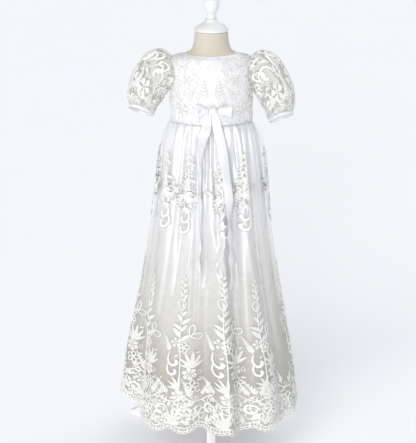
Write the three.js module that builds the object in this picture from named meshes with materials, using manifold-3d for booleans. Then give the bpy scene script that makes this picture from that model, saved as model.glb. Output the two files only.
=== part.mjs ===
// A child's christening gown on a limbless dress form with a tripod stand.
// Millimetres, +Z up, the front towards -Y. Angles run from the front round to +X, in degrees in the tables.

import * as THREE from 'three';
import { mergeVertices } from 'three/addons/utils/BufferGeometryUtils.js';
import Module from 'manifold-3d';

// Gaps and cloth thicknesses
const SEAM_GAP = 0.3;
const SKIRT_WALL = 1.2;
const LINING_WALL = 1.1;
const SLEEVE_WALL = 1.1;
const CUFF_WALL = 1.6;
const RIBBON_WALL = 1.0;
const LACE_WALL = 1.0;
const BORDER_WALL = 2.2;
const LAID_GAP = 0.4;
const BODICE_EASE = 1.4;
const BODICE_WALL = 1.7;
const BODICE_FACE = BODICE_EASE + BODICE_WALL;

// Levels of the gown
const WAIST = 800;
const HEM = 88;
const LINING_HEM = 195;
const NECKLINE = { front: 952, back: 957 };
const SCALLOP = { count: 20, depth: 13 };
const BORDER_TOP = 132;
const BORDER_WAVE = 9;

// Linen body of the form, as oval sections from the base to the neck
const FORM_COLUMNS = 26;
const FORM_SECTIONS = [
  { z: 640, halfWidth: 80, halfDepth: 60 },
  { z: 652, halfWidth: 88, halfDepth: 67 },
  { z: 690, halfWidth: 92, halfDepth: 71 },
  { z: 740, halfWidth: 91, halfDepth: 71 },
  { z: 800, halfWidth: 91.5, halfDepth: 69 },
  { z: 872, halfWidth: 91.5, halfDepth: 67 },
  { z: 905, halfWidth: 91.5, halfDepth: 66 },
  { z: 925, halfWidth: 91, halfDepth: 63 },
  { z: 936, halfWidth: 90.5, halfDepth: 59.5 },
  { z: 942, halfWidth: 87, halfDepth: 56 },
  { z: 946, halfWidth: 80, halfDepth: 53 },
  { z: 949, halfWidth: 70, halfDepth: 50.5 },
  { z: 952, halfWidth: 60, halfDepth: 48 },
  { z: 956, halfWidth: 51.5, halfDepth: 45.5 },
  { z: 962, halfWidth: 46, halfDepth: 43 },
  { z: 972, halfWidth: 41.5, halfDepth: 40.5 },
  { z: 986, halfWidth: 39, halfDepth: 39 },
  { z: 1003, halfWidth: 38, halfDepth: 38 },
];

// Turned wood above the neck, each profile from its foot up
const TURNING_SEGMENTS = 20;
const NECK_CAP_PROFILE = [
  { radius: 38.5, z: 1003.3 },
  { radius: 38.5, z: 1007 },
  { radius: 36.5, z: 1010.5 },
  { radius: 34.7, z: 1012 },
  { radius: 26, z: 1019 },
  { radius: 18, z: 1022.7 },
  { radius: 12.7, z: 1031 },
];
const FINIAL_PROFILE = [
  { radius: 11.5, z: 1031.3 },
  { radius: 11.5, z: 1040 },
  { radius: 8.6, z: 1042 },
  { radius: 11.8, z: 1046.5 },
  { radius: 15.6, z: 1053 },
  { radius: 17.7, z: 1060 },
  { radius: 18.6, z: 1067.5 },
  { radius: 19, z: 1070 },
  { radius: 16.5, z: 1073.5 },
  { radius: 9, z: 1079.5 },
];
const FINIAL_TOP = 1082;

// Pole, hub and the three board legs
const POLE = { radius: 14, segments: 20, top: 640 - SEAM_GAP };
const HUB = { sides: 6, apothem: 24, bottom: 100, top: 230 };
const LEG = { count: 3, thickness: 20, heelRadius: 206, toeRadius: 234, tipRadius: 236 };
const LEG_TOP = { rootHeight: 190, tipHeight: 10, pulls: [[126, 185], [158, 40]] };
const LEG_UNDERSIDE = { rootHeight: 105, pulls: [[148, 12], [116, 105]] };
const LEG_CURVE_STEPS = 9;

// Bodice: heights of its rows below the neckline, and the armhole let into each side
const BODICE_ROWS = [WAIST + SEAM_GAP / 2, 836, 872.5, 874.5, 884, 907, 922, 932, 939, 941.5, 945, 948.5];
const BODICE_COLUMNS = { front: 16, back: 8 };
const ARMHOLE = { z: 907, halfHeight: 34.5, halfAngle: 28 };

// Puff sleeve: rings from the armhole to the cuff, by their lowest and highest points seen from the front
const SLEEVE_COLUMNS = 36;
const SLEEVE_RINGS = [
  { lowX: 94, lowZ: 873, highX: 90, highZ: 942, halfDepth: 33 },
  { lowX: 99, lowZ: 866, highX: 112, highZ: 962, halfDepth: 42 },
  { lowX: 107, lowZ: 856, highX: 146, highZ: 955, halfDepth: 50 },
  { lowX: 116, lowZ: 843, highX: 170, highZ: 925, halfDepth: 53 },
  { lowX: 125, lowZ: 829, highX: 187, highZ: 890, halfDepth: 50 },
  { lowX: 130, lowZ: 818, highX: 192, highZ: 858, halfDepth: 42 },
  { lowX: 132, lowZ: 815, highX: 187, highZ: 834, halfDepth: 30 },
];
const SLEEVE_GATHERS = { count: 9, share: 0.035 };
const SLEEVE_SEAT_REACH = 1.05;
const SLEEVES = [
  { side: 'left', outwards: -1, cuffDrop: 0 },
  { side: 'right', outwards: 1, cuffDrop: 15 },
];
const CUFF = { columns: 20, height: 7.5, frontLift: 6 };

// Skirts: oval sections through the crests of the folds, from the hem up to the waist
const SKIRT_COLUMNS = 40;
const SKIRT_WAIST_EASE = 3;
const SKIRT_SECTIONS = [
  { z: HEM, halfWidth: 224, halfDepth: 190 },
  { z: BORDER_TOP, halfWidth: 218.5, halfDepth: 186 },
  { z: 250, halfWidth: 200, halfDepth: 172 },
  { z: 370, halfWidth: 173, halfDepth: 150 },
  { z: 500, halfWidth: 151, halfDepth: 131 },
  { z: 620, halfWidth: 136, halfDepth: 116 },
  { z: 715, halfWidth: 123, halfDepth: 102 },
  { z: 768, halfWidth: 110, halfDepth: 88 },
];
const LINING_WAIST_EASE = 1.5;
const LINING_SECTIONS = [
  { z: LINING_HEM, halfWidth: 198, halfDepth: 170 },
  { z: 340, halfWidth: 167, halfDepth: 144 },
  { z: 490, halfWidth: 143, halfDepth: 122 },
  { z: 640, halfWidth: 123, halfDepth: 102 },
  { z: 752, halfWidth: 105, halfDepth: 83 },
];
const SKIRT_GATHERS = { count: 40, height: 2.6, peak: 770, fadedOut: 640 };

// Main folds of the skirt, crest by crest and valley by valley: how far each stands off the oval at the hem
const FOLD_GROWTH = 0.75;
const FOLDS = [
  { angle: -166, stand: 0 },
  { angle: -148, stand: -28 },
  { angle: -130, stand: 2 },
  { angle: -118, stand: -12 },
  { angle: -106, stand: 12 },
  { angle: -80, stand: -44 },
  { angle: -56, stand: 3 },
  { angle: -44, stand: 6 },
  { angle: -28, stand: 0 },
  { angle: -14, stand: -8 },
  { angle: -4, stand: -34 },
  { angle: 10, stand: 22 },
  { angle: 20, stand: -22 },
  { angle: 29, stand: 8 },
  { angle: 39, stand: 11 },
  { angle: 56, stand: -18 },
  { angle: 66, stand: -8 },
  { angle: 76, stand: -12 },
  { angle: 88, stand: -4 },
  { angle: 105, stand: -28 },
  { angle: 122, stand: 0 },
  { angle: 140, stand: -28 },
  { angle: 158, stand: 2 },
  { angle: 176, stand: -26 },
];

// Corded lace: sprays as pairs of leaves along a stem that ends in a leaf of its own
const SPRAY_ANGLES = { front: [-54, -22.5, 9, 36, 85.5], back: [121.5, 157.5, 193.5, 229.5, 256.5] };
const LACE_BRIDGE = [0, 0.5, 1, 1.5, 2];
const LEAF_BELLY = 0.45;
const LEAF_ROOT = 0.4;
const SKIRT_LACE_LIFT = 1.9;
const LACE_TIP_SEAT = 1.55;
const BODICE_LACE_LIFT = 0.7;
const SLEEVE_LACE_LIFT = 1.2;
const HANGING_STEM = { length: 150, width: 4, root: 742, sway: 4, tipLength: 44, tipWidth: 13 };
const HANGING_PAIRS = [
  { along: 6, turn: 54, left: 27, right: 22, width: 12 },
  { along: 48, turn: 46, left: 22, right: 28, width: 12 },
  { along: 96, turn: 40, left: 24, right: 18, width: 10 },
];
const RISING_STEM = { length: 262, width: 4.5, root: 118, sway: 7, tipLength: 58, tipWidth: 15 };
const RISING_PAIRS = [
  { along: 36, turn: 58, left: 48, right: 42, width: 18 },
  { along: 92, turn: 48, left: 34, right: 40, width: 16 },
  { along: 152, turn: 40, left: 32, right: 26, width: 13 },
  { along: 208, turn: 34, left: 20, right: 25, width: 11 },
];
const EYELET = { length: 22, width: 12, rise: 10, through: 4 };
const BODICE_SPRAYS = [
  { name: 'front_left', angle: -40 },
  { name: 'front_right', angle: 40 },
  { name: 'back_left', angle: -132 },
  { name: 'back_right', angle: 132 },
];
const BODICE_STEM = { length: 84, width: 4, root: 812, sway: 3, tipLength: 30, tipWidth: 13 };
const BODICE_PAIRS = [
  { along: 10, turn: 50, left: 28, right: 28, width: 13 },
  { along: 50, turn: 44, left: 24, right: 24, width: 12 },
];
const SLEEVE_SPRAYS = [
  { name: 'front', turn: 66 },
  { name: 'back', turn: -66 },
];
const SLEEVE_STEM = { length: 50, width: 4, root: 4.4, sway: 2, tipLength: 20, tipWidth: 12 };
const SLEEVE_RING_STEP = 22;
const SLEEVE_PAIRS = [
  { along: 8, turn: 58, left: 24, right: 24, width: 12 },
  { along: 34, turn: 46, left: 20, right: 20, width: 11 },
];

// Satin bow: funnel-shaped loops, a knot and two hanging tails
const BOW = { x: 4, y: -79.8, z: 835, loopColumns: 14 };
const KNOT = { halfWidth: 11, halfDepth: 7, halfHeight: 7.5, segments: 12 };
const LEFT_LOOP = [
  { out: 10.5, rise: 0, forward: 0, halfHeight: 5, halfDepth: 3.5 },
  { out: 22, rise: 0.5, forward: 1, halfHeight: 9, halfDepth: 5 },
  { out: 36, rise: 0, forward: 1.5, halfHeight: 13.5, halfDepth: 6 },
];
const RIGHT_LOOP = [
  { out: 10.5, rise: 0, forward: 0, halfHeight: 5, halfDepth: 3.5 },
  { out: 24, rise: 0, forward: 0.5, halfHeight: 8.5, halfDepth: 5 },
  { out: 41, rise: -1, forward: 0, halfHeight: 12.5, halfDepth: 6 },
];
const LOOP_MOUTH_CUT = { left: 9, right: 0 };
const TAIL_SHARES = [-1, -0.5, 0, 0.5, 1];
const FRONT_PASSES = 6;
const TAIL_REST = { onBodice: 0.35, onSkirt: 7.2 };
const LEFT_TAIL = [
  { z: 475, x: -31, width: 20, twist: 66 },
  { z: 535, x: -28, width: 20, twist: 68 },
  { z: 600, x: -26, width: 20, twist: 68 },
  { z: 650, x: -26, width: 20, twist: 64 },
  { z: 694, x: -26, width: 20, twist: 56 },
  { z: 735, x: -26, width: 20, twist: 42 },
  { z: 768, x: -22, width: 20, twist: 18 },
  { z: 795, x: -13, width: 19, twist: 0 },
  { z: 832, x: -7, width: 12, twist: 0 },
];
const RIGHT_TAIL = [
  { z: 440, x: 49, width: 20, twist: -48 },
  { z: 500, x: 46, width: 20, twist: -50 },
  { z: 559, x: 43, width: 20, twist: -50 },
  { z: 610, x: 41, width: 20, twist: -46 },
  { z: 655, x: 39, width: 20, twist: -42 },
  { z: 694, x: 34, width: 21, twist: -34 },
  { z: 735, x: 28, width: 21, twist: -16 },
  { z: 768, x: 22, width: 21, twist: 0 },
  { z: 795, x: 14, width: 20, twist: 0 },
  { z: 832, x: 7, width: 12, twist: 0 },
];

// Distances in u and v over which the direction of a surface is read
const READ_STEPS = { oval: [0.01, 0.5], ring: [0.02, 0.05], ribbon: [0.1, 2] };

// Finishes
const LINEN = { color: 0xd8cfbd, roughness: 0.9 };
const PAINTED_WOOD = { color: 0xf3f3f1, roughness: 0.4 };
const SATIN = { color: 0xf8f8fc, roughness: 0.35 };
const TULLE = { color: 0xe4e2dc, roughness: 0.8 };
const LACE = { color: 0xf4f2ec, roughness: 0.7 };

const radians = THREE.MathUtils.degToRad;
const gown = new THREE.Group();

/** Adds one named piece with a finish of its own. */
function addPiece(name, geometry, finish) {
  const piece = new THREE.Mesh(geometry, new THREE.MeshStandardMaterial({ ...finish, metalness: 0 }));
  piece.name = name;
  gown.add(piece);
  return piece;
}

/** Smooth curve through one column of a table, read at a value of its key column. */
function curveThrough(table, key, column) {
  const keys = table.map((row) => row[key]);
  const values = table.map((row) => row[column]);
  const curve = new THREE.CubicInterpolant(keys, values, 1, new Float64Array(1));
  return (value) => curve.evaluate(value)[0];
}

/** Point of an oval at an angle from the front. */
function onOval(angle, halfWidth, halfDepth, z) {
  return new THREE.Vector3(halfWidth * Math.sin(angle), -halfDepth * Math.cos(angle), z);
}

/** Indexed geometry from points and triangles. */
function meshOf(points, triangles) {
  const geometry = new THREE.BufferGeometry();
  geometry.setAttribute('position', new THREE.Float32BufferAttribute(points.flatMap((p) => p.toArray()), 3));
  geometry.setIndex(triangles);
  return geometry;
}

/** Volume inside a closed geometry, negative where its triangles face inwards. */
function signedVolume(geometry) {
  const corners = geometry.index.array;
  const { position } = geometry.attributes;
  const corner = (index) => new THREE.Vector3().fromBufferAttribute(position, corners[index]);
  let volume = 0;
  for (let first = 0; first < corners.length; first += 3) {
    volume += corner(first).dot(corner(first + 1).cross(corner(first + 2))) / 6;
  }
  return volume;
}

/** The same closed geometry, its triangles turned over if they face inwards. */
function facingOut(geometry) {
  if (signedVolume(geometry) < 0) {
    geometry.setIndex(Array.from(geometry.index.array).reverse());
  }
  return geometry;
}

/** A grid of points on a surface, from which a wall of cloth and whatever lies on it are made. */
class ClothGrid {
  /**
   * surface(u, v) gives a point, place(column, row) gives the grid's u and v, steps are the distances in u
   * and v over which the surface's direction is read, and rim may place the points of an edge row itself.
   */
  constructor({ surface, place, columns, rows, steps, closed = false, rim = () => null }) {
    Object.assign(this, { surface, place, columns, rows, steps, closed, rim });
  }

  outward(u, v) {
    const [stepU, stepV] = this.steps;
    const alongU = this.surface(u + stepU, v).sub(this.surface(u - stepU, v));
    const alongV = this.surface(u, v + stepV).sub(this.surface(u, v - stepV));
    return alongU.cross(alongV).normalize();
  }

  /** A point of the surface moved outwards by a distance. */
  raised(u, v, distance) {
    return this.surface(u, v).addScaledVector(this.outward(u, v), distance);
  }

  /** A grid point moved outwards by a distance. */
  moved(column, row, distance) {
    return this.rim(column, row, distance) ?? this.raised(...this.place(column, row), distance);
  }

  /** Closed wall between two distances from the surface, over the whole grid or a span of it. */
  wall(inside, outside, span = {}) {
    const { from = 0, to = this.columns, bottom = 0, top = this.rows } = span;
    const whole = this.closed && to - from === this.columns;
    const across = whole ? to - from : to - from + 1;
    const upwards = top - bottom + 1;
    const points = [];
    for (const distance of [inside, outside]) {
      for (let row = bottom; row <= top; row += 1) {
        for (let column = 0; column < across; column += 1) {
          points.push(this.moved(from + column, row, distance));
        }
      }
    }
    const at = (side, column, row) => side * across * upwards + row * across + (column % across);
    const triangles = [];
    const quad = (a, b, c, d) => triangles.push(a, b, c, a, c, d);
    const lastRow = upwards - 1;
    const end = to - from;
    for (let column = 0; column < end; column += 1) {
      const next = column + 1;
      for (let row = 0; row < lastRow; row += 1) {
        quad(at(1, column, row), at(1, next, row), at(1, next, row + 1), at(1, column, row + 1));
        quad(at(0, column, row), at(0, column, row + 1), at(0, next, row + 1), at(0, next, row));
      }
      quad(at(0, column, 0), at(0, next, 0), at(1, next, 0), at(1, column, 0));
      quad(at(1, column, lastRow), at(1, next, lastRow), at(0, next, lastRow), at(0, column, lastRow));
    }
    for (let row = 0; row < lastRow && !whole; row += 1) {
      quad(at(1, 0, row), at(1, 0, row + 1), at(0, 0, row + 1), at(0, 0, row));
      quad(at(1, end, row + 1), at(1, end, row), at(0, end, row), at(0, end, row + 1));
    }
    return meshOf(points, triangles);
  }
}

// The dress form

const formWidth = curveThrough(FORM_SECTIONS, 'z', 'halfWidth');
const formDepth = curveThrough(FORM_SECTIONS, 'z', 'halfDepth');

/** Point of the form's surface. */
function onForm(angle, z) {
  return onOval(angle, formWidth(z), formDepth(z), z);
}

/** Solid linen body, closed flat at its base and at the top of its neck. */
function formBody() {
  const points = [];
  const triangles = [];
  const at = (column, section) => section * FORM_COLUMNS + (column % FORM_COLUMNS);
  for (const section of FORM_SECTIONS) {
    for (let column = 0; column < FORM_COLUMNS; column += 1) {
      points.push(onForm((column / FORM_COLUMNS) * 2 * Math.PI, section.z));
    }
  }
  const lastSection = FORM_SECTIONS.length - 1;
  const base = points.push(new THREE.Vector3(0, 0, FORM_SECTIONS[0].z)) - 1;
  const top = points.push(new THREE.Vector3(0, 0, FORM_SECTIONS[lastSection].z)) - 1;
  for (let column = 0; column < FORM_COLUMNS; column += 1) {
    const next = column + 1;
    triangles.push(base, at(next, 0), at(column, 0));
    triangles.push(top, at(column, lastSection), at(next, lastSection));
    for (let section = 0; section < lastSection; section += 1) {
      triangles.push(at(column, section), at(next, section), at(next, section + 1));
      triangles.push(at(column, section), at(next, section + 1), at(column, section + 1));
    }
  }
  return meshOf(points, triangles);
}

/** Turned wood from a profile, closed on the axis at its foot and at a given top. */
function turning(profile, top) {
  const foot = new THREE.Vector2(0, profile[0].z);
  const outline = profile.map((ring) => new THREE.Vector2(ring.radius, ring.z));
  const tip = new THREE.Vector2(0, top);
  return new THREE.LatheGeometry([foot, ...outline, tip], TURNING_SEGMENTS).rotateX(Math.PI / 2);
}

/** Upright round or six-sided post between two heights. */
function post(radius, segments, bottom, top) {
  const height = top - bottom;
  const body = new THREE.CylinderGeometry(radius, radius, height, segments).rotateX(Math.PI / 2);
  return body.translate(0, 0, bottom + height / 2);
}

/** One curved board leg, drawn from the hub's side to its foot and lying along +X. */
function leg() {
  const root = HUB.apothem + SEAM_GAP;
  const outline = new THREE.Shape();
  outline.moveTo(root, LEG_TOP.rootHeight);
  outline.bezierCurveTo(...LEG_TOP.pulls[0], ...LEG_TOP.pulls[1], LEG.tipRadius, LEG_TOP.tipHeight);
  outline.lineTo(LEG.toeRadius, 0);
  outline.lineTo(LEG.heelRadius, 0);
  outline.bezierCurveTo(...LEG_UNDERSIDE.pulls[0], ...LEG_UNDERSIDE.pulls[1], root, LEG_UNDERSIDE.rootHeight);
  const board = { depth: LEG.thickness, bevelEnabled: false, curveSegments: LEG_CURVE_STEPS };
  return new THREE.ExtrudeGeometry(outline, board).rotateX(Math.PI / 2).translate(0, LEG.thickness / 2, 0);
}

function addForm() {
  addPiece('form_body', formBody(), LINEN);
  addPiece('neck_cap', turning(NECK_CAP_PROFILE, NECK_CAP_PROFILE.at(-1).z), PAINTED_WOOD);
  addPiece('finial', turning(FINIAL_PROFILE, FINIAL_TOP), PAINTED_WOOD);
  addPiece('pole', post(POLE.radius, POLE.segments, HUB.top + SEAM_GAP, POLE.top), PAINTED_WOOD);
  const hubRadius = HUB.apothem / Math.cos(Math.PI / HUB.sides);
  addPiece('hub', post(hubRadius, HUB.sides, HUB.bottom, HUB.top).rotateZ(Math.PI / HUB.sides), PAINTED_WOOD);
  for (let index = 0; index < LEG.count; index += 1) {
    const board = addPiece(`leg_${index + 1}`, leg(), PAINTED_WOOD);
    board.rotation.z = (index / LEG.count) * 2 * Math.PI - Math.PI / 2;
  }
}

// The bodice

/** Half the armhole's opening, as an angle, at a height. */
function armholeReach(z) {
  const rise = (z - ARMHOLE.z) / ARMHOLE.halfHeight;
  return Math.abs(rise) < 1 ? radians(ARMHOLE.halfAngle) * Math.sqrt(1 - rise * rise) : 0;
}

/** Height of the neckline, which dips a little at the front. */
function neckline(angle) {
  return THREE.MathUtils.lerp(NECKLINE.front, NECKLINE.back, 0.5 - 0.5 * Math.cos(angle));
}

/** Grid of a bodice panel whose edges are given as angles at each height. */
function bodicePanel(columns, leftEdge, rightEdge) {
  const place = (column, row) => {
    const share = column / columns;
    const height = BODICE_ROWS[row] ?? NECKLINE.back;
    const angle = THREE.MathUtils.lerp(leftEdge(height), rightEdge(height), share);
    return [angle, BODICE_ROWS[row] ?? neckline(angle)];
  };
  return new ClothGrid({ surface: onForm, place, columns, rows: BODICE_ROWS.length, steps: READ_STEPS.oval });
}

const sideSeam = (z) => SEAM_GAP / 2 / formDepth(z);
const backSeam = (z) => SEAM_GAP / 2 / formWidth(z);
const frontEdge = (z) => Math.PI / 2 - sideSeam(z) - armholeReach(z);
const backEdge = (z) => Math.PI / 2 + sideSeam(z) + armholeReach(z);
const BODICE_PANELS = {
  front: bodicePanel(BODICE_COLUMNS.front, (z) => -frontEdge(z), frontEdge),
  back_left: bodicePanel(BODICE_COLUMNS.back, (z) => -Math.PI + backSeam(z), (z) => -backEdge(z)),
  back_right: bodicePanel(BODICE_COLUMNS.back, backEdge, (z) => Math.PI - backSeam(z)),
};

function addBodice() {
  for (const [name, panel] of Object.entries(BODICE_PANELS)) {
    addPiece(`bodice_${name}`, panel.wall(BODICE_EASE, BODICE_FACE), SATIN);
  }
}

// The puff sleeves

const ringTable = SLEEVE_RINGS.map((ring, index) => ({ ...ring, index }));
const ringSize = (column) => curveThrough(ringTable, 'index', column);
const sleeveLowX = ringSize('lowX');
const sleeveLowZ = ringSize('lowZ');
const sleeveHighX = ringSize('highX');
const sleeveHighZ = ringSize('highZ');
const sleeveDepth = ringSize('halfDepth');
const CUFF_RING = SLEEVE_RINGS.length - 1;

/** Middle of a sleeve ring, before the sleeve's own drop. */
function sleeveCentre(ring) {
  const x = (sleeveLowX(ring) + sleeveHighX(ring)) / 2;
  return new THREE.Vector3(x, 0, (sleeveLowZ(ring) + sleeveHighZ(ring)) / 2);
}

/** From a ring's middle to its rim, at a turn from the top towards the front. */
function sleeveSpoke(turn, ring) {
  const up = Math.cos(turn) / 2;
  const across = (sleeveHighX(ring) - sleeveLowX(ring)) * up;
  const rise = (sleeveHighZ(ring) - sleeveLowZ(ring)) * up;
  return new THREE.Vector3(across, -sleeveDepth(ring) * Math.sin(turn), rise);
}

/** How far a ring hangs lower, with the front of the cuff lifted. */
function sleeveSag(turn, ring, cuffDrop) {
  const share = ring / CUFF_RING;
  return CUFF.frontLift * share ** 3 * Math.sin(turn) - cuffDrop * share;
}

/** Point of the right-hand sleeve's surface, with gathers at its head and at its cuff. */
function onSleeve(turn, ring, cuffDrop) {
  const fullness = Math.cos((2 * Math.PI * ring) / CUFF_RING);
  const gather = SLEEVE_GATHERS.share * fullness * Math.cos(SLEEVE_GATHERS.count * turn);
  const point = sleeveCentre(ring).addScaledVector(sleeveSpoke(turn, ring), 1 + gather);
  point.z += sleeveSag(turn, ring, cuffDrop);
  return point;
}

/** Point of the sleeve's first edge, which stands on the bodice around the armhole. */
function sleeveSeat(turn, distance) {
  const reach = SLEEVE_SEAT_REACH + distance / ARMHOLE.halfHeight;
  const angle = Math.PI / 2 - radians(ARMHOLE.halfAngle) * reach * Math.sin(turn);
  const z = ARMHOLE.z + ARMHOLE.halfHeight * reach * Math.cos(turn);
  return BODICE_PANELS.front.raised(angle, z, BODICE_FACE + LAID_GAP);
}

/** Grid of one sleeve, its two edge rows kept square to the armhole and to the cuff. */
function sleeveGrid(cuffDrop) {
  const turnAt = (column) => (column / SLEEVE_COLUMNS) * 2 * Math.PI;
  const surface = (turn, ring) => onSleeve(turn, ring, cuffDrop);
  const rim = (column, row, distance) => {
    const turn = turnAt(column);
    if (row === 0) {
      return sleeveSeat(turn, distance);
    }
    if (row === CUFF_RING) {
      return surface(turn, row).addScaledVector(sleeveSpoke(turn, row).normalize(), distance);
    }
    return null;
  };
  const place = (column, row) => [turnAt(column), row];
  const size = { columns: SLEEVE_COLUMNS, rows: CUFF_RING, steps: READ_STEPS.ring };
  return new ClothGrid({ surface, place, rim, closed: true, ...size });
}

/** Grid of the cuff band below one sleeve, its rows counted from the sleeve's edge. */
function cuffGrid(cuffDrop) {
  const across = sleeveHighX(CUFF_RING) - sleeveLowX(CUFF_RING);
  const rise = sleeveHighZ(CUFF_RING) - sleeveLowZ(CUFF_RING);
  const downwards = new THREE.Vector3(rise, 0, -across).normalize();
  const turnAt = (column) => (column / CUFF.columns) * 2 * Math.PI;
  const rim = (column, row, distance) => {
    const turn = turnAt(column);
    const spoke = sleeveSpoke(turn, CUFF_RING);
    const point = sleeveCentre(CUFF_RING).add(spoke).addScaledVector(spoke.clone().normalize(), distance);
    point.z += sleeveSag(turn, CUFF_RING, cuffDrop);
    return point.addScaledVector(downwards, SEAM_GAP + row * CUFF.height);
  };
  return new ClothGrid({ place: () => [0, 0], rim, columns: CUFF.columns, rows: 1, closed: true });
}

/** The right-hand piece as it is, or its mirror image for the left. */
function onSide(geometry, outwards) {
  return facingOut(geometry.scale(outwards, 1, 1));
}

function addSleeves() {
  for (const { side, outwards, cuffDrop } of SLEEVES) {
    const sleeve = sleeveGrid(cuffDrop);
    addPiece(`sleeve_${side}`, onSide(sleeve.wall(0, SLEEVE_WALL), outwards), TULLE);
    const cuff = cuffGrid(cuffDrop).wall(-CUFF_WALL / 2, CUFF_WALL / 2);
    addPiece(`cuff_${side}`, onSide(cuff, outwards), SATIN);
  }
}

// The skirts

const foldTable = [-360, 0, 360].flatMap((turn) => {
  return FOLDS.map(({ angle, stand }) => ({ angle: angle + turn, stand }));
});
const foldAtHem = curveThrough(foldTable, 'angle', 'stand');

/** How far the main folds stand off the oval, growing from the waist to the hem. */
function foldStand(angle, z) {
  const fall = THREE.MathUtils.clamp((WAIST - z) / (WAIST - HEM), 0, 1);
  return fall ** FOLD_GROWTH * foldAtHem(THREE.MathUtils.radToDeg(angle));
}

/** How deep the small gathers below the waist seam are at a height. */
function gatherDepth(z) {
  const { height, peak, fadedOut } = SKIRT_GATHERS;
  const share = z > peak ? (WAIST - z) / (WAIST - peak) : (z - fadedOut) / (peak - fadedOut);
  return height * THREE.MathUtils.clamp(share, 0, 1);
}

/** How far the hem rises between its round scallops. */
function scallopRise(angle) {
  return SCALLOP.depth * (1 - Math.abs(Math.cos((SCALLOP.count * angle) / 2)));
}

/** How far the top of the lace border waves up over each scallop. */
function borderRise(angle) {
  return BORDER_WAVE * Math.cos(SCALLOP.count * angle);
}

/** One layer of the skirt: its surface, and its grid over the front or the back half. */
function skirtLayer({ sections, waistEase, gatherShare, edges }) {
  const columns = SKIRT_COLUMNS;
  const top = WAIST - SEAM_GAP / 2;
  const atWaist = { z: top, halfWidth: formWidth(top) + waistEase, halfDepth: formDepth(top) + waistEase };
  const table = [...sections, atWaist];
  const width = curveThrough(table, 'z', 'halfWidth');
  const depth = curveThrough(table, 'z', 'halfDepth');
  const surface = (angle, z) => {
    const gather = gatherShare * gatherDepth(z) * Math.cos(SKIRT_GATHERS.count * angle);
    const stand = foldStand(angle, z) + gather;
    return onOval(angle, width(z) + stand, depth(z) + stand, z);
  };
  const half = (start) => {
    const place = (column, row) => {
      const { z } = table[row];
      const seam = SEAM_GAP / 2 / depth(z);
      const angle = start + seam + (Math.PI - 2 * seam) * (column / columns);
      const rise = edges[row] ? edges[row](angle) : 0;
      return [angle, z + rise];
    };
    return new ClothGrid({ surface, place, columns, rows: sections.length, steps: READ_STEPS.oval });
  };
  return { width, depth, surface, front: half(-Math.PI / 2), back: half(Math.PI / 2) };
}

const overskirt = skirtLayer({
  sections: SKIRT_SECTIONS,
  waistEase: SKIRT_WAIST_EASE,
  gatherShare: 1,
  edges: [scallopRise, borderRise],
});
const underskirt = skirtLayer({
  sections: LINING_SECTIONS,
  waistEase: LINING_WAIST_EASE,
  gatherShare: 0,
  edges: [],
});

function addSkirts() {
  for (const half of ['front', 'back']) {
    addPiece(`underskirt_${half}`, underskirt[half].wall(-LINING_WALL, 0), SATIN);
    addPiece(`overskirt_${half}`, overskirt[half].wall(-SKIRT_WALL, 0), TULLE);
  }
}

// The corded lace

const wasm = await Module();
wasm.setup();

/** Solid for joining and cutting, from a closed geometry. */
function solidOf(geometry) {
  geometry.deleteAttribute('normal');
  geometry.deleteAttribute('uv');
  const merged = mergeVertices(geometry);
  const vertProperties = new Float32Array(merged.attributes.position.array);
  const triVerts = new Uint32Array(merged.index.array);
  return new wasm.Manifold(new wasm.Mesh({ numProp: 3, vertProperties, triVerts }));
}

/** Geometry of a solid that has been joined or cut. */
function geometryOf(solid) {
  const mesh = solid.getMesh();
  const geometry = new THREE.BufferGeometry();
  geometry.setAttribute('position', new THREE.Float32BufferAttribute(mesh.vertProperties, 3));
  geometry.setIndex(Array.from(mesh.triVerts));
  return geometry;
}

/** One solid from several geometries. */
function joined(geometries) {
  return geometries.map(solidOf).reduce((whole, solid) => whole.add(solid));
}

/** Closed plate over flat faces, between two distances from the cloth that it lies on. */
function plate(corners, faces, lay, [under, over]) {
  const count = corners.length;
  const layer = (distance) => corners.map(([across, along]) => lay(across, along, distance));
  const triangles = faces.flatMap(([a, b, c]) => [a + count, b + count, c + count, a, c, b]);
  const edges = faces.flatMap(([a, b, c]) => [[a, b], [b, c], [c, a]]);
  const shared = new Set(edges.map(([from, to]) => `${to} ${from}`));
  for (const [from, to] of edges.filter((edge) => !shared.has(edge.join(' ')))) {
    triangles.push(from, to, to + count, from, to + count, from + count);
  }
  return facingOut(meshOf([...layer(under), ...layer(over)], triangles));
}

/** Faces of a round-bellied leaf between two corners of the stem, which it adds to the corners. */
function leafFaces(corners, [first, last], turn, length, width) {
  const root = [0, 1].map((axis) => (corners[first][axis] + corners[last][axis]) / 2);
  const [sine, cosine] = [Math.sin(radians(turn)), Math.cos(radians(turn))];
  const outline = [[width / 2, length * LEAF_BELLY], [0, length], [-width / 2, length * LEAF_BELLY]];
  const start = corners.length;
  for (const [x, y] of outline) {
    corners.push([root[0] + x * cosine - y * sine, root[1] + x * sine + y * cosine]);
  }
  return [[first, start, start + 2], [start, start + 1, start + 2], [first, start + 2, last]];
}

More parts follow.
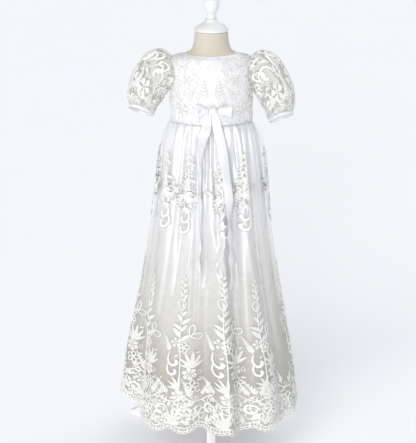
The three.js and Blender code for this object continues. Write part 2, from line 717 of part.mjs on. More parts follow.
/** One spray of lace: a stem, its pairs of leaves and the leaf at its tip. */
function spray(stem, pairs, lay, lift) {
  const roots = pairs.flatMap(({ along, width }) => [along - width * LEAF_ROOT, along + width * LEAF_ROOT]);
  const heights = [0, ...roots, stem.length];
  const corners = heights.flatMap((along) => {
    const centre = stem.sway * Math.sin((2 * Math.PI * along) / stem.length);
    return [[centre - stem.width / 2, along], [centre + stem.width / 2, along]];
  });
  const faces = [];
  for (let left = 0; left < corners.length - 2; left += 2) {
    faces.push([left, left + 1, left + 3], [left, left + 3, left + 2]);
  }
  const end = corners.length - 2;
  faces.push(...leafFaces(corners, [end + 1, end], 0, stem.tipLength, stem.tipWidth));
  pairs.forEach(({ turn, left, right, width }, index) => {
    const low = 2 + 4 * index;
    faces.push(...leafFaces(corners, [low + 1, low + 3], -turn, right, width));
    faces.push(...leafFaces(corners, [low + 2, low], turn, left, width));
  });
  return plate(corners, faces, lay, [lift, lift + LACE_WALL]);
}

/** Way of laying a pattern on the overskirt, up or down, bridging the hollows of the folds. */
function layOnSkirt(angle, root, direction) {
  return (across, along, distance) => {
    const z = root + direction * along;
    const turn = across / overskirt.width(z);
    const stands = LACE_BRIDGE.map((share) => foldStand(angle + share * turn, z));
    const out = Math.max(...stands) + gatherDepth(z) + distance;
    return onOval(angle + turn, overskirt.width(z) + out, overskirt.depth(z) + out, z);
  };
}

/** Scalloped border, pierced by eyelets, with the sprays that rise from it. */
function laceBorder(half) {
  const start = half === 'front' ? -90 : 90;
  const { length, width, rise, through } = EYELET;
  const corners = [[0, 0], [width / 2, length / 2], [0, length], [-width / 2, length / 2]];
  const eyelets = [];
  for (let index = 0; index < SCALLOP.count / 2; index += 1) {
    const lay = layOnSkirt(radians(start + ((index + 0.5) * 360) / SCALLOP.count), HEM + rise, 1);
    eyelets.push(plate(corners, [[0, 1, 2], [0, 2, 3]], lay, [-through, through]));
  }
  const sprays = SPRAY_ANGLES[half].map(radians).map((angle) => {
    return spray(RISING_STEM, RISING_PAIRS, layOnSkirt(angle, RISING_STEM.root, 1), SKIRT_LACE_LIFT);
  });
  const band = solidOf(overskirt[half].wall(LAID_GAP, LAID_GAP + BORDER_WALL, { top: 1 }));
  return geometryOf(band.subtract(joined(eyelets)).add(joined(sprays)));
}

/** How far the tip of a hanging spray comes down to the cloth that it is sewn to. */
function tipSeat(along) {
  return LACE_TIP_SEAT * Math.max(0, along - HANGING_STEM.length) / HANGING_STEM.tipLength;
}

function addSkirtLace() {
  for (const half of ['front', 'back']) {
    addPiece(`lace_border_${half}`, laceBorder(half), LACE);
    SPRAY_ANGLES[half].map(radians).forEach((angle, index) => {
      const above = layOnSkirt(angle, HANGING_STEM.root, -1);
      const lay = (across, along, distance) => above(across, along, distance - tipSeat(along));
      const hanging = spray(HANGING_STEM, HANGING_PAIRS, lay, SKIRT_LACE_LIFT);
      addPiece(`lace_spray_${half}_${index + 1}`, hanging, LACE);
    });
  }
}

function addBodiceLace() {
  for (const { name, angle } of BODICE_SPRAYS) {
    const lay = (across, along, distance) => {
      const z = BODICE_STEM.root + along;
      return BODICE_PANELS.front.raised(radians(angle) + across / formWidth(z), z, BODICE_FACE + distance);
    };
    addPiece(`lace_bodice_${name}`, spray(BODICE_STEM, BODICE_PAIRS, lay, BODICE_LACE_LIFT), LACE);
  }
}

function addSleeveLace() {
  for (const { side, outwards, cuffDrop } of SLEEVES) {
    const sleeve = sleeveGrid(cuffDrop);
    for (const { name, turn } of SLEEVE_SPRAYS) {
      const lay = (across, along, distance) => {
        const ring = SLEEVE_STEM.root - along / SLEEVE_RING_STEP;
        return sleeve.raised(radians(turn) + across / sleeveDepth(ring), ring, SLEEVE_WALL + distance);
      };
      const rising = spray(SLEEVE_STEM, SLEEVE_PAIRS, lay, SLEEVE_LACE_LIFT);
      addPiece(`lace_sleeve_${side}_${name}`, onSide(rising, outwards), LACE);
    }
  }
}

// The bow

/** Funnel-shaped loop, open at its outer end, whose mouth may be cut back at the front. */
function bowLoop(sections, outwards, mouthCut) {
  const lastRow = sections.length - 1;
  const table = sections.map((section, index) => ({ ...section, index }));
  const size = (column) => curveThrough(table, 'index', column);
  const [out, rise, forward] = [size('out'), size('rise'), size('forward')];
  const [halfHeight, halfDepth] = [size('halfHeight'), size('halfDepth')];
  const surface = (turn, row) => {
    const frontShare = Math.max(0, Math.sin(turn));
    const x = out(row) - mouthCut * frontShare * (row / lastRow) ** 2;
    const y = -forward(row) - halfDepth(row) * Math.sin(turn);
    const z = rise(row) + halfHeight(row) * Math.cos(turn);
    return new THREE.Vector3(BOW.x * outwards + x, BOW.y + y, BOW.z + z);
  };
  const place = (column, row) => [(column / BOW.loopColumns) * 2 * Math.PI, row];
  const grid = { columns: BOW.loopColumns, rows: lastRow, steps: READ_STEPS.ring, closed: true };
  return onSide(new ClothGrid({ surface, place, ...grid }).wall(-RIBBON_WALL, 0), outwards);
}

/** How far forward the gown's front stands at a place across it. */
function gownFront(x, z) {
  if (z > WAIST) {
    const angle = Math.asin(x / (formWidth(z) + BODICE_FACE));
    return -(formDepth(z) + BODICE_FACE) * Math.cos(angle);
  }
  let angle = 0;
  for (let pass = 0; pass < FRONT_PASSES; pass += 1) {
    const reach = overskirt.surface(angle, z).x / Math.sin(angle || 1);
    angle = Math.asin(x / (angle ? reach : overskirt.width(z)));
  }
  return overskirt.surface(angle, z).y;
}

/** Hanging tail of the bow, clear of the folds behind it. */
function bowTail(table) {
  const [centre, width, twist] = ['x', 'width', 'twist'].map((column) => curveThrough(table, 'z', column));
  const surface = (across, z) => {
    const halfWidth = width(z) / 2;
    const turn = radians(twist(z));
    const reach = halfWidth * Math.cos(turn);
    const front = Math.min(...TAIL_SHARES.map((share) => gownFront(centre(z) + share * reach, z)));
    const rest = z > WAIST ? TAIL_REST.onBodice : TAIL_REST.onSkirt;
    const middle = front - rest - halfWidth * Math.abs(Math.sin(turn));
    return new THREE.Vector3(centre(z) + across * reach, middle - across * halfWidth * Math.sin(turn), z);
  };
  const place = (column, row) => [column - 1, table[row].z];
  const grid = { columns: 2, rows: table.length - 1, steps: READ_STEPS.ribbon };
  return new ClothGrid({ surface, place, ...grid }).wall(0, RIBBON_WALL);
}

function addBow() {
  const knot = new THREE.SphereGeometry(1, KNOT.segments, KNOT.segments / 2);
  knot.scale(KNOT.halfWidth, KNOT.halfHeight, KNOT.halfDepth).rotateX(Math.PI / 2);
  addPiece('bow_knot', knot.translate(BOW.x, BOW.y, BOW.z), SATIN);
  addPiece('bow_loop_left', bowLoop(LEFT_LOOP, -1, LOOP_MOUTH_CUT.left), SATIN);
  addPiece('bow_loop_right', bowLoop(RIGHT_LOOP, 1, LOOP_MOUTH_CUT.right), SATIN);
  addPiece('bow_tail_left', bowTail(LEFT_TAIL), SATIN);
  addPiece('bow_tail_right', bowTail(RIGHT_TAIL), SATIN);
}

addForm();
addBodice();
addSleeves();
addSkirts();
addSkirtLace();
addBodiceLace();
addSleeveLace();
addBow();

// The origin is on the floor, under the middle of the whole part
gown.updateMatrixWorld(true);
const extent = new THREE.Box3().setFromObject(gown, true);
const middle = extent.getCenter(new THREE.Vector3());
gown.position.set(-middle.x, -middle.y, -extent.min.z);

export default gown;
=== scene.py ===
"""Looks of a child's christening gown on a limbless dress form with a tripod stand.

The tables are in millimetres and degrees. Angles run from the front (-Y) round to +X.
"""

import logging
import math
from dataclasses import dataclass
from enum import Enum
from typing import Callable, NamedTuple, Sequence

import bmesh
import bpy
import numpy as np
from mathutils import Matrix, Vector


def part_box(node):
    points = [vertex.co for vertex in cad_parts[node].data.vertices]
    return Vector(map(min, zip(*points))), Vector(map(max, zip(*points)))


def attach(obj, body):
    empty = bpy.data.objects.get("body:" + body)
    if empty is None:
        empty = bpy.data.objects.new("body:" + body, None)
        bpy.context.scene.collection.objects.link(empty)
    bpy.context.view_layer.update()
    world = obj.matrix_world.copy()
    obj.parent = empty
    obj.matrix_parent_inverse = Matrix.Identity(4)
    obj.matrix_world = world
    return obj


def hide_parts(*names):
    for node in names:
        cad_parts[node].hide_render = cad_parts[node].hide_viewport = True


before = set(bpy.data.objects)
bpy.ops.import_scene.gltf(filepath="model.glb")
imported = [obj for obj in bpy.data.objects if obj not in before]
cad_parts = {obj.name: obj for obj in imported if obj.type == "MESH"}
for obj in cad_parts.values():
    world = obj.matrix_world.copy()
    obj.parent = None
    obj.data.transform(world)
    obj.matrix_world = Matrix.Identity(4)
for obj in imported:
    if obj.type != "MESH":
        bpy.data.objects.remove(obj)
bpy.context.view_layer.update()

LOG = logging.getLogger("christening_gown")
MM = 0.001
MM_PER_CM = 10
MM_PER_M = 1000
WELD = 1e-6  # metres between corners that become one
TINY = 1e-9  # keeps a division away from zero
SHARP = 0.6  # radians from which an edge is eased
CORD_MARK = 3.0  # added across a cord's UV map, so that the finish can tell it from a leaf

Array = np.ndarray
Surface = Callable[[Array, Array], Array]
Colour = tuple[float, float, float]
Pair = tuple[float, float]
Table = tuple[tuple[float, ...], ...]


# Shared geometry


class Curve:
    """Smooth curve through the rows of a table, level past its ends."""

    def __init__(self, keys: Sequence[float], values: Sequence[float]) -> None:
        """Keeps the table.

        Args:
            keys: rising values at which the curve is known.
            values: the curve's value at each key.
        """
        self.keys = np.asarray(keys, float)
        self.values = np.asarray(values, float)

    def __call__(self, at: Array) -> Array:
        """Reads the curve.

        Args:
            at: where to read it.

        Returns:
            The curve's values there.
        """
        keys, values = self.keys, self.values
        last = len(keys) - 1
        at = np.clip(np.asarray(at, float), keys[0], keys[last])
        high = np.clip(np.searchsorted(keys, at, side="right"), 1, last)
        low = high - 1
        before = np.where(low > 0, low - 1, high)
        after = np.where(high < last, high + 1, low)
        span = keys[high] - keys[low]
        pull_before = 0.5 * span / (keys[low] - keys[before])
        pull_after = 0.5 * span / (keys[after] - keys[high])
        p = (at - keys[low]) / span
        p2, p3 = p * p, p * p * p
        share_low = (1 + pull_before) * p3 - (1.5 + 2 * pull_before) * p2 + (pull_before - 0.5) * p + 1
        share_high = (1.5 + pull_after) * p2 - (1 + pull_after) * p3 + 0.5 * p
        return (
            pull_before * (2 * p2 - p3 - p) * values[before]
            + share_low * values[low]
            + share_high * values[high]
            + pull_after * (p3 - p2) * values[after]
        )


def smooth_step(at: Array, start: float, end: float) -> Array:
    """Soft rise from 0 at start to 1 at end.

    Args:
        at: where to read it.
        start: where the rise begins.
        end: where it is complete.

    Returns:
        Values from 0 to 1.
    """
    t = np.clip((at - start) / (end - start), 0, 1)
    return t * t * (3 - 2 * t)


def on_oval(angle: Array, half_width: Array, half_depth: Array, z: Array) -> Array:
    """Points of an oval.

    Args:
        angle: angles from the front, in radians.
        half_width: half the oval's width.
        half_depth: half its depth.
        z: heights.

    Returns:
        Points, one row each.
    """
    x, y, z = np.broadcast_arrays(half_width * np.sin(angle), -half_depth * np.cos(angle), z)
    return np.stack([x, y, z], axis=-1)


def normals_of(surface: Surface, u: Array, v: Array, steps: Pair) -> Array:
    """Outward directions of a surface.

    Args:
        surface: the surface.
        u: first parameters.
        v: second parameters.
        steps: how far either way each parameter is read.

    Returns:
        Unit vectors, one row each.
    """
    along_u = surface(u + steps[0], v) - surface(u - steps[0], v)
    along_v = surface(u, v + steps[1]) - surface(u, v - steps[1])
    across = np.cross(along_u, along_v)
    return across / np.maximum(np.linalg.norm(across, axis=-1, keepdims=True), TINY)


def form_axis() -> Pair:
    """Place of the form's axis in the part's frame, in metres."""
    low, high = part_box("pole")
    return (low.x + high.x) / 2, (low.y + high.y) / 2


AXIS = form_axis()


def in_frame(points: Array) -> Array:
    """Points in millimetres about the form's axis, as metres in the part's frame."""
    return points * MM + np.array([AXIS[0], AXIS[1], 0.0])


class Slot(Enum):
    """Material slots of the part's record."""

    SATIN = "satin"
    TULLE = "tulle"
    LACE = "lace"
    LINEN = "linen"
    PAINTED_WOOD = "painted_wood"


def flat_size(cut: Pair) -> Pair:
    """Width and length of a cut in metres, from millimetres."""
    return cut[0] / MM_PER_M, cut[1] / MM_PER_M


def finished(mesh: bpy.types.Mesh, material: bpy.types.Material,
             nodes: Sequence[str]) -> bpy.types.Object:
    """Makes a mesh a piece of the part.

    Args:
        mesh: the piece's mesh, in the part's frame.
        material: its finish.
        nodes: the solids that it stands for.

    Returns:
        The new object.
    """
    mesh.materials.append(material)
    mesh.shade_smooth()
    piece = bpy.data.objects.new(mesh.name, mesh)
    bpy.context.scene.collection.objects.link(piece)
    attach(piece, "root")
    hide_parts(*nodes)
    LOG.info("%s: %d faces", mesh.name, len(mesh.polygons))
    return piece


def bent_grid(name: str, surface: Surface, size: tuple[int, int], cut: Pair,
              closed: bool = False, flipped: bool = False) -> bpy.types.Mesh:
    """Mesh of a flat grid that is bent onto a surface.

    Args:
        name: the mesh's name.
        surface: gives points in millimetres for u and v from 0 to 1.
        size: columns and rows of the grid.
        cut: width and length of the flat cloth in millimetres, which its weave follows.
        closed: whether the last column meets the first.
        flipped: whether the surface's own direction is inwards.

    Returns:
        The mesh, with a UV map in centimetres.
    """
    grid = bmesh.new()
    bmesh.ops.create_grid(grid, x_segments=size[0], y_segments=size[1], size=0.5)
    if flipped:
        bmesh.ops.reverse_faces(grid, faces=grid.faces)
    mesh = bpy.data.meshes.new(name)
    grid.to_mesh(mesh)
    flat = np.zeros(len(mesh.vertices) * 3)
    mesh.vertices.foreach_get("co", flat)
    u, v = flat.reshape(-1, 3)[:, :2].T + 0.5
    corners = np.zeros(len(mesh.loops), int)
    mesh.loops.foreach_get("vertex_index", corners)
    weave = np.stack([u * cut[0], v * cut[1]], axis=1)[corners] / MM_PER_CM
    mesh.uv_layers.new(name="cloth").data.foreach_set("uv", weave.ravel())
    mesh.vertices.foreach_set("co", in_frame(surface(u, v)).ravel())
    grid.clear()
    if closed:
        grid.from_mesh(mesh)
        bmesh.ops.remove_doubles(grid, verts=grid.verts, dist=WELD)
        grid.to_mesh(mesh)
    grid.free()
    mesh.update()
    return mesh


def give_wall(piece: bpy.types.Object, thickness: float, side: float) -> None:
    """Gives cloth its thickness.

    Args:
        piece: the cloth.
        thickness: in millimetres.
        side: 1 outwards, -1 inwards, 0 both ways.
    """
    wall = piece.modifiers.new("wall", "SOLIDIFY")
    wall.thickness = thickness * MM
    wall.offset = side


# Finishes


class Value:
    """A number in a material, whose sums and products become Math nodes."""

    def __init__(self, nodes: "Nodes", socket: bpy.types.NodeSocket) -> None:
        """Wraps a socket of a tree of nodes."""
        self.nodes = nodes
        self.socket = socket

    def math(self, operation: str, *others: "Value | float") -> "Value":
        """Joins this number with others.

        Args:
            operation: the Math node's operation.
            others: the numbers that follow this one.

        Returns:
            The result.
        """
        values = {i: other for i, other in enumerate([self, *others])}
        return self.nodes.value("ShaderNodeMath", {"operation": operation}, values)

    def __add__(self, other: "Value | float") -> "Value":
        """Sum."""
        return self.math("ADD", other)

    __radd__ = __add__

    def __mul__(self, other: "Value | float") -> "Value":
        """Product."""
        return self.math("MULTIPLY", other)

    __rmul__ = __mul__

    def __sub__(self, other: "Value | float") -> "Value":
        """Difference."""
        return self.math("SUBTRACT", other)

    def __rsub__(self, other: float) -> "Value":
        """Difference from a number."""
        return self * -1.0 + other

    def sine(self) -> "Value":
        """Sine."""
        return self.math("SINE")

    def size(self) -> "Value":
        """Absolute value."""
        return self.math("ABSOLUTE")


class Nodes:
    """A tree of shader nodes, built node by node."""

    def __init__(self, tree: bpy.types.NodeTree) -> None:
        """Empties a tree and keeps it."""
        self.tree = tree
        self.tree.nodes.clear()

    def node(self, kind: str, settings: dict[str, object],
             sockets: dict[object, object]) -> bpy.types.Node:
        """Adds a node.

        Args:
            kind: the node's type.
            settings: its own settings, set first.
            sockets: values or links of its inputs.

        Returns:
            The node.
        """
        made = self.tree.nodes.new(kind)
        for key, setting in settings.items():
            setattr(made, key, setting)
        for key, given in sockets.items():
            given = given.socket if isinstance(given, Value) else given
            if isinstance(given, bpy.types.NodeSocket):
                self.tree.links.new(given, made.inputs[key])
            else:
                made.inputs[key].default_value = given
        return made

    def value(self, kind: str, settings: dict[str, object], sockets: dict[object, object]) -> Value:
        """Adds a node and wraps its first output as a number."""
        return Value(self, self.node(kind, settings, sockets).outputs[0])

    def axes(self, place: bpy.types.NodeSocket) -> tuple[Value, Value, Value]:
        """The three coordinates of a place as numbers."""
        split = self.node("ShaderNodeSeparateXYZ", {}, {0: place})
        return tuple(Value(self, output) for output in split.outputs)

    def noise(self, place: bpy.types.NodeSocket, scale: float, detail: float = 2.0) -> Value:
        """Soft noise from 0 to 1 over a place."""
        return self.value("ShaderNodeTexNoise", {}, {"Vector": place, "Scale": scale, "Detail": detail})

    def ramp(self, value: Value, start: float, end: float) -> Value:
        """Number that goes from 0 to 1 while another goes from start to end."""
        return self.value("ShaderNodeMapRange", {}, {0: value, 1: start, 2: end})

    def blend(self, share: Value, first: Sequence[float],
              second: Sequence[float]) -> bpy.types.NodeSocket:
        """Colour between two others.

        Args:
            share: how much of the second, from 0 to 1.
            first: red, green and blue.
            second: red, green and blue.

        Returns:
            The colour's socket.
        """
        colours = {0: share, 6: (*first, 1.0), 7: (*second, 1.0)}
        return self.node("ShaderNodeMix", {"data_type": "RGBA"}, colours).outputs[2]


class Shader(Nodes):
    """A material with one Principled shader."""

    def __init__(self, name: str, constants: dict[str, object]) -> None:
        """Starts the material.

        Args:
            name: the material's name.
            constants: values of the shader's own sockets, the same all over.
        """
        self.material = bpy.data.materials.new(name)
        self.material.use_nodes = True
        super().__init__(self.material.node_tree)
        self.surface = self.node("ShaderNodeBsdfPrincipled", {}, constants)
        self.node("ShaderNodeOutputMaterial", {}, {"Surface": self.surface.outputs[0]})

    def place(self, uv_map: str | None = None) -> bpy.types.NodeSocket:
        """Coordinates of a point: those of a UV map, or the piece's own."""
        if uv_map:
            return self.node("ShaderNodeUVMap", {"uv_map": uv_map}, {}).outputs[0]
        return self.node("ShaderNodeTexCoord", {}, {}).outputs["Object"]

    def dress(self, **inputs: object) -> None:
        """Links what varies over the surface to the shader, its spaces written as underscores."""
        for key, given in inputs.items():
            socket = given.socket if isinstance(given, Value) else given
            self.tree.links.new(socket, self.surface.inputs[key.replace("_", " ")])

    def emboss(self, height: Value, depth: float, strength: float = 1.0) -> None:
        """Raises the surface's light and shade by a height.

        Args:
            height: from 0 to 1.
            depth: what a height of 1 stands for, in millimetres.
            strength: share of it that shows.
        """
        bump = {"Height": height, "Distance": depth * MM, "Strength": strength}
        self.dress(Normal=self.node("ShaderNodeBump", {}, bump).outputs[0])


@dataclass(frozen=True)
class SatinFinish:
    """White satin: a smooth warp face with a fine rib and slight shading."""

    light: Colour = (0.87, 0.872, 0.885)
    dark: Colour = (0.80, 0.803, 0.82)
    lustre: float = 0.1
    roughness: float = 0.27
    ribs_per_cm: float = 16.0
    rib_lean: float = 9.0
    drift_per_cm: float = 0.35
    slubs_per_cm: float = 9.0
    relief_mm: float = 0.05

    def make(self, name: str) -> bpy.types.Material:
        """Builds the material under a name and returns it."""
        sheen = {"Sheen Weight": 0.1, "Sheen Roughness": 0.35}
        shader = Shader(name, {"Metallic": self.lustre, "Specular IOR Level": 0.6, **sheen})
        cloth = shader.place("cloth")
        across, along, _ = shader.axes(cloth)
        drift = shader.noise(cloth, self.drift_per_cm)
        rib = (across * (self.ribs_per_cm * math.tau) + along * self.rib_lean).sine() * 0.5 + 0.5
        slub = shader.noise(cloth, self.slubs_per_cm, 3.0)
        shader.dress(
            Base_Color=shader.blend(drift * 0.6 + slub * 0.3, self.light, self.dark),
            Roughness=drift * 0.12 + rib * 0.05 + self.roughness,
        )
        shader.emboss(rib * 0.5 + slub * 0.5, self.relief_mm, 0.6)
        return shader.material


@dataclass(frozen=True)
class TulleFinish:
    """Sheer net: fine hexagonal meshes, seen as a veil from further off."""

    cover: float
    thread: Colour = (0.79, 0.765, 0.71)
    painted_shade: Colour = (0.52, 0.485, 0.42)
    meshes_per_cm: float = 7.0
    thread_edge: Pair = (0.02, 0.22)
    clouds_per_cm: float = 0.5
    sheer_from_cm: float = 25.0
    sheer_over_cm: float = 30.0
    sheerer: float = 0.85
    painted_shade_below_cm: float = 24.0
    closer: float = 0.0

    def make(self, name: str) -> bpy.types.Material:
        """Builds the material under a name and returns it."""
        sheen = {"Sheen Weight": 0.8, "Sheen Roughness": 0.5}
        shader = Shader(name, {"Roughness": 0.8, "Specular IOR Level": 0.2, **sheen})
        cloth = shader.place("cloth")
        cells = {"Vector": cloth, "Scale": self.meshes_per_cm, "Randomness": 0.25}
        wall = shader.value("ShaderNodeTexVoronoi", {"feature": "DISTANCE_TO_EDGE"}, cells)
        thread = 1.0 - shader.ramp(wall, *self.thread_edge)
        cloud = shader.noise(cloth, self.clouds_per_cm)
        _, along, _ = shader.axes(cloth)
        # Painted shade: below this band the veil turns greyer and, on the skirt, less sheer, standing for
        # the shaded inside of the skirt seen through it near the hem; the short sleeves lie almost wholly
        # within it.
        low = 1.0 - shader.ramp(along, self.painted_shade_below_cm / 2, self.painted_shade_below_cm)
        # Thins towards the waist: partly the tulle lying close on the satin there, partly painted light,
        # letting the white satin show through as the brighter upper skirt.
        high = shader.ramp(along, self.sheer_from_cm, self.sheer_from_cm + self.sheer_over_cm)
        close = low * self.closer + 1.0 - high * self.sheerer
        shader.dress(
            # The colour runs towards the painted shade a little with random clouds and mostly with the
            # painted shade low down.
            Base_Color=shader.blend(cloud * 0.3 + low * 0.6, self.thread, self.painted_shade),
            Alpha=(thread * 0.8 + cloud * 0.4 + 0.4) * close * self.cover,
        )
        return shader.material


@dataclass(frozen=True)
class LaceFinish:
    """Corded lace: twisted thread with painted shade where a stroke meets the net and in the grooves of
    its twist; leaves with a greyer netted middle, partly the net's sparser thread and partly painted
    shade.
    """

    thread: Colour = (0.945, 0.937, 0.912)
    painted_shade: Colour = (0.45, 0.44, 0.42)
    twists_per_mm: float = 0.7
    painted_foot_shade_from: float = 0.72
    net_edge: Pair = (0.4, 0.7)
    fuzz_per_mm: float = 2.2
    relief_mm: float = 0.3

    def make(self, name: str) -> bpy.types.Material:
        """Builds the material under a name and returns it."""
        shader = Shader(name, {"Specular IOR Level": 0.3, "Sheen Weight": 0.2, "Sheen Roughness": 0.5})
        stroke = shader.place("stroke")
        across, along, _ = shader.axes(stroke)
        is_cord = across.math("GREATER_THAN", CORD_MARK / 2)
        across = across - is_cord * CORD_MARK
        # Painted shade along the stroke's foot, where it meets the cloth, which draws the motif's
        # outline.
        foot = shader.ramp(across.size(), self.painted_foot_shade_from, 1.0)
        # The leaf's netted middle is greyer: partly the net's sparser thread, partly painted shade from
        # the cloth behind it.
        net = (1.0 - shader.ramp(across.size(), *self.net_edge)) * (1.0 - is_cord)
        twist = ((along + across) * (self.twists_per_mm * math.tau)).sine() * 0.5 + 0.5
        fuzz = shader.noise(stroke, self.fuzz_per_mm, 3.0)
        # Share of painted shade: at the foot, in the twist's grooves and in the netted middle, with a
        # little random fuzz.
        painted_shade = foot * 0.64 + net * 0.27 + (1.0 - twist) * 0.08 + fuzz * 0.06
        shader.dress(Base_Color=shader.blend(painted_shade, self.thread, self.painted_shade), Roughness=fuzz * 0.2 + 0.58)
        shader.emboss(twist * 0.7 + fuzz * 0.3, self.relief_mm, 0.6)
        return shader.material


@dataclass(frozen=True)
class LinenFinish:
    """Natural linen: a plain weave with slubs in both threads."""

    pale: Colour = (0.74, 0.69, 0.59)
    deep: Colour = (0.60, 0.54, 0.44)
    threads_per_cm: float = 9.0
    slubs_per_cm: float = 3.0
    drift_per_cm: float = 0.4
    relief_mm: float = 0.3

    def make(self, name: str) -> bpy.types.Material:
        """Builds the material under a name and returns it."""
        shader = Shader(name, {"Specular IOR Level": 0.2, "Sheen Weight": 0.25})
        cloth = shader.place("cloth")
        across, along, _ = shader.axes(cloth)
        turn = self.threads_per_cm * math.pi
        warp = (across * turn).sine().size()
        weft = (along * turn).sine().size()
        slub = shader.noise(cloth, self.slubs_per_cm, 4.0)
        drift = shader.noise(cloth, self.drift_per_cm)
        weave = warp * weft
        tone = (1.0 - weave) * 0.35 + slub * 0.35 + drift * 0.2
        shader.dress(
            Base_Color=shader.blend(tone, self.pale, self.deep),
            Roughness=slub * 0.15 + 0.78,
        )
        shader.emboss(weave * 0.7 + slub * 0.5, self.relief_mm, 0.7)
        return shader.material


@dataclass(frozen=True)
class PaintFinish:
    """White paint on wood: brushed, a little worn and greyer in patches."""

    paint: Colour = (0.81, 0.81, 0.795)
    worn: Colour = (0.76, 0.745, 0.71)
    grain_stretch: tuple[float, float, float] = (1.0, 1.0, 0.12)
    grain_per_m: float = 260.0
    patches_per_m: float = 22.0
    wear_edge: Pair = (0.52, 0.8)
    relief_mm: float = 0.15

    def make(self, name: str) -> bpy.types.Material:
        """Builds the material under a name and returns it."""
        shader = Shader(name, {"Specular IOR Level": 0.5, "Coat Weight": 0.1, "Coat Roughness": 0.3})
        place = shader.place()
        stretch = shader.node("ShaderNodeMapping", {}, {"Vector": place, "Scale": self.grain_stretch})
        grain = shader.noise(stretch.outputs[0], self.grain_per_m, 4.0)
        patch = shader.noise(place, self.patches_per_m, 3.0)
        wear = shader.ramp(patch, *self.wear_edge)
        shader.dress(
            Base_Color=shader.blend(wear * 0.6 + grain * 0.15, self.paint, self.worn),
            Roughness=grain * 0.12 + wear * 0.15 + 0.3,
        )
        shader.emboss(grain * 0.6 + patch * 0.4, self.relief_mm, 0.5)
        return shader.material


@dataclass(frozen=True)
class FloorFinish:
    """Plain pale floor with a faint unevenness."""

    pale: Colour = (0.88, 0.885, 0.90)
    soft: Colour = (0.86, 0.865, 0.88)
    glow: float = 0.24
    clouds_per_m: float = 1.5

    def make(self, name: str) -> bpy.types.Material:
        """Builds the material under a name and returns it."""
        glow = {"Emission Color": (*self.pale, 1), "Emission Strength": self.glow}
        shader = Shader(name, {"Roughness": 0.85, "Specular IOR Level": 0.1, **glow})
        cloud = shader.noise(shader.place(), self.clouds_per_m)
        shader.dress(Base_Color=shader.blend(cloud, self.pale, self.soft))
        return shader.material


@dataclass(frozen=True)
class Finishes:
    """The materials that the pieces share."""

    satin: bpy.types.Material
    lining: bpy.types.Material
    tulle: bpy.types.Material
    sleeve_tulle: bpy.types.Material
    lace: bpy.types.Material
    linen: bpy.types.Material
    paint: bpy.types.Material

    @classmethod
    def make(cls) -> "Finishes":
        """Builds every material once."""
        return cls(
            satin=SatinFinish().make("white_satin"),
            lining=SatinFinish(
                light=(0.88, 0.884, 0.902), dark=(0.80, 0.803, 0.822), lustre=0.28, roughness=0.24,
            ).make("lining_satin"),
            tulle=TulleFinish(cover=0.34, closer=0.5).make("skirt_tulle"),
            # The sleeves' grey veil is partly the net's off-white tone and partly painted shade for the
            # shadow inside the sleeve.
            sleeve_tulle=TulleFinish(
                cover=0.27, thread=(0.80, 0.78, 0.73), painted_shade=(0.74, 0.72, 0.67),
            ).make("sleeve_tulle"),
            lace=LaceFinish().make("corded_lace"),
            linen=LinenFinish().make("natural_linen"),
            paint=PaintFinish().make("white_paint"),
        )


# The dress form


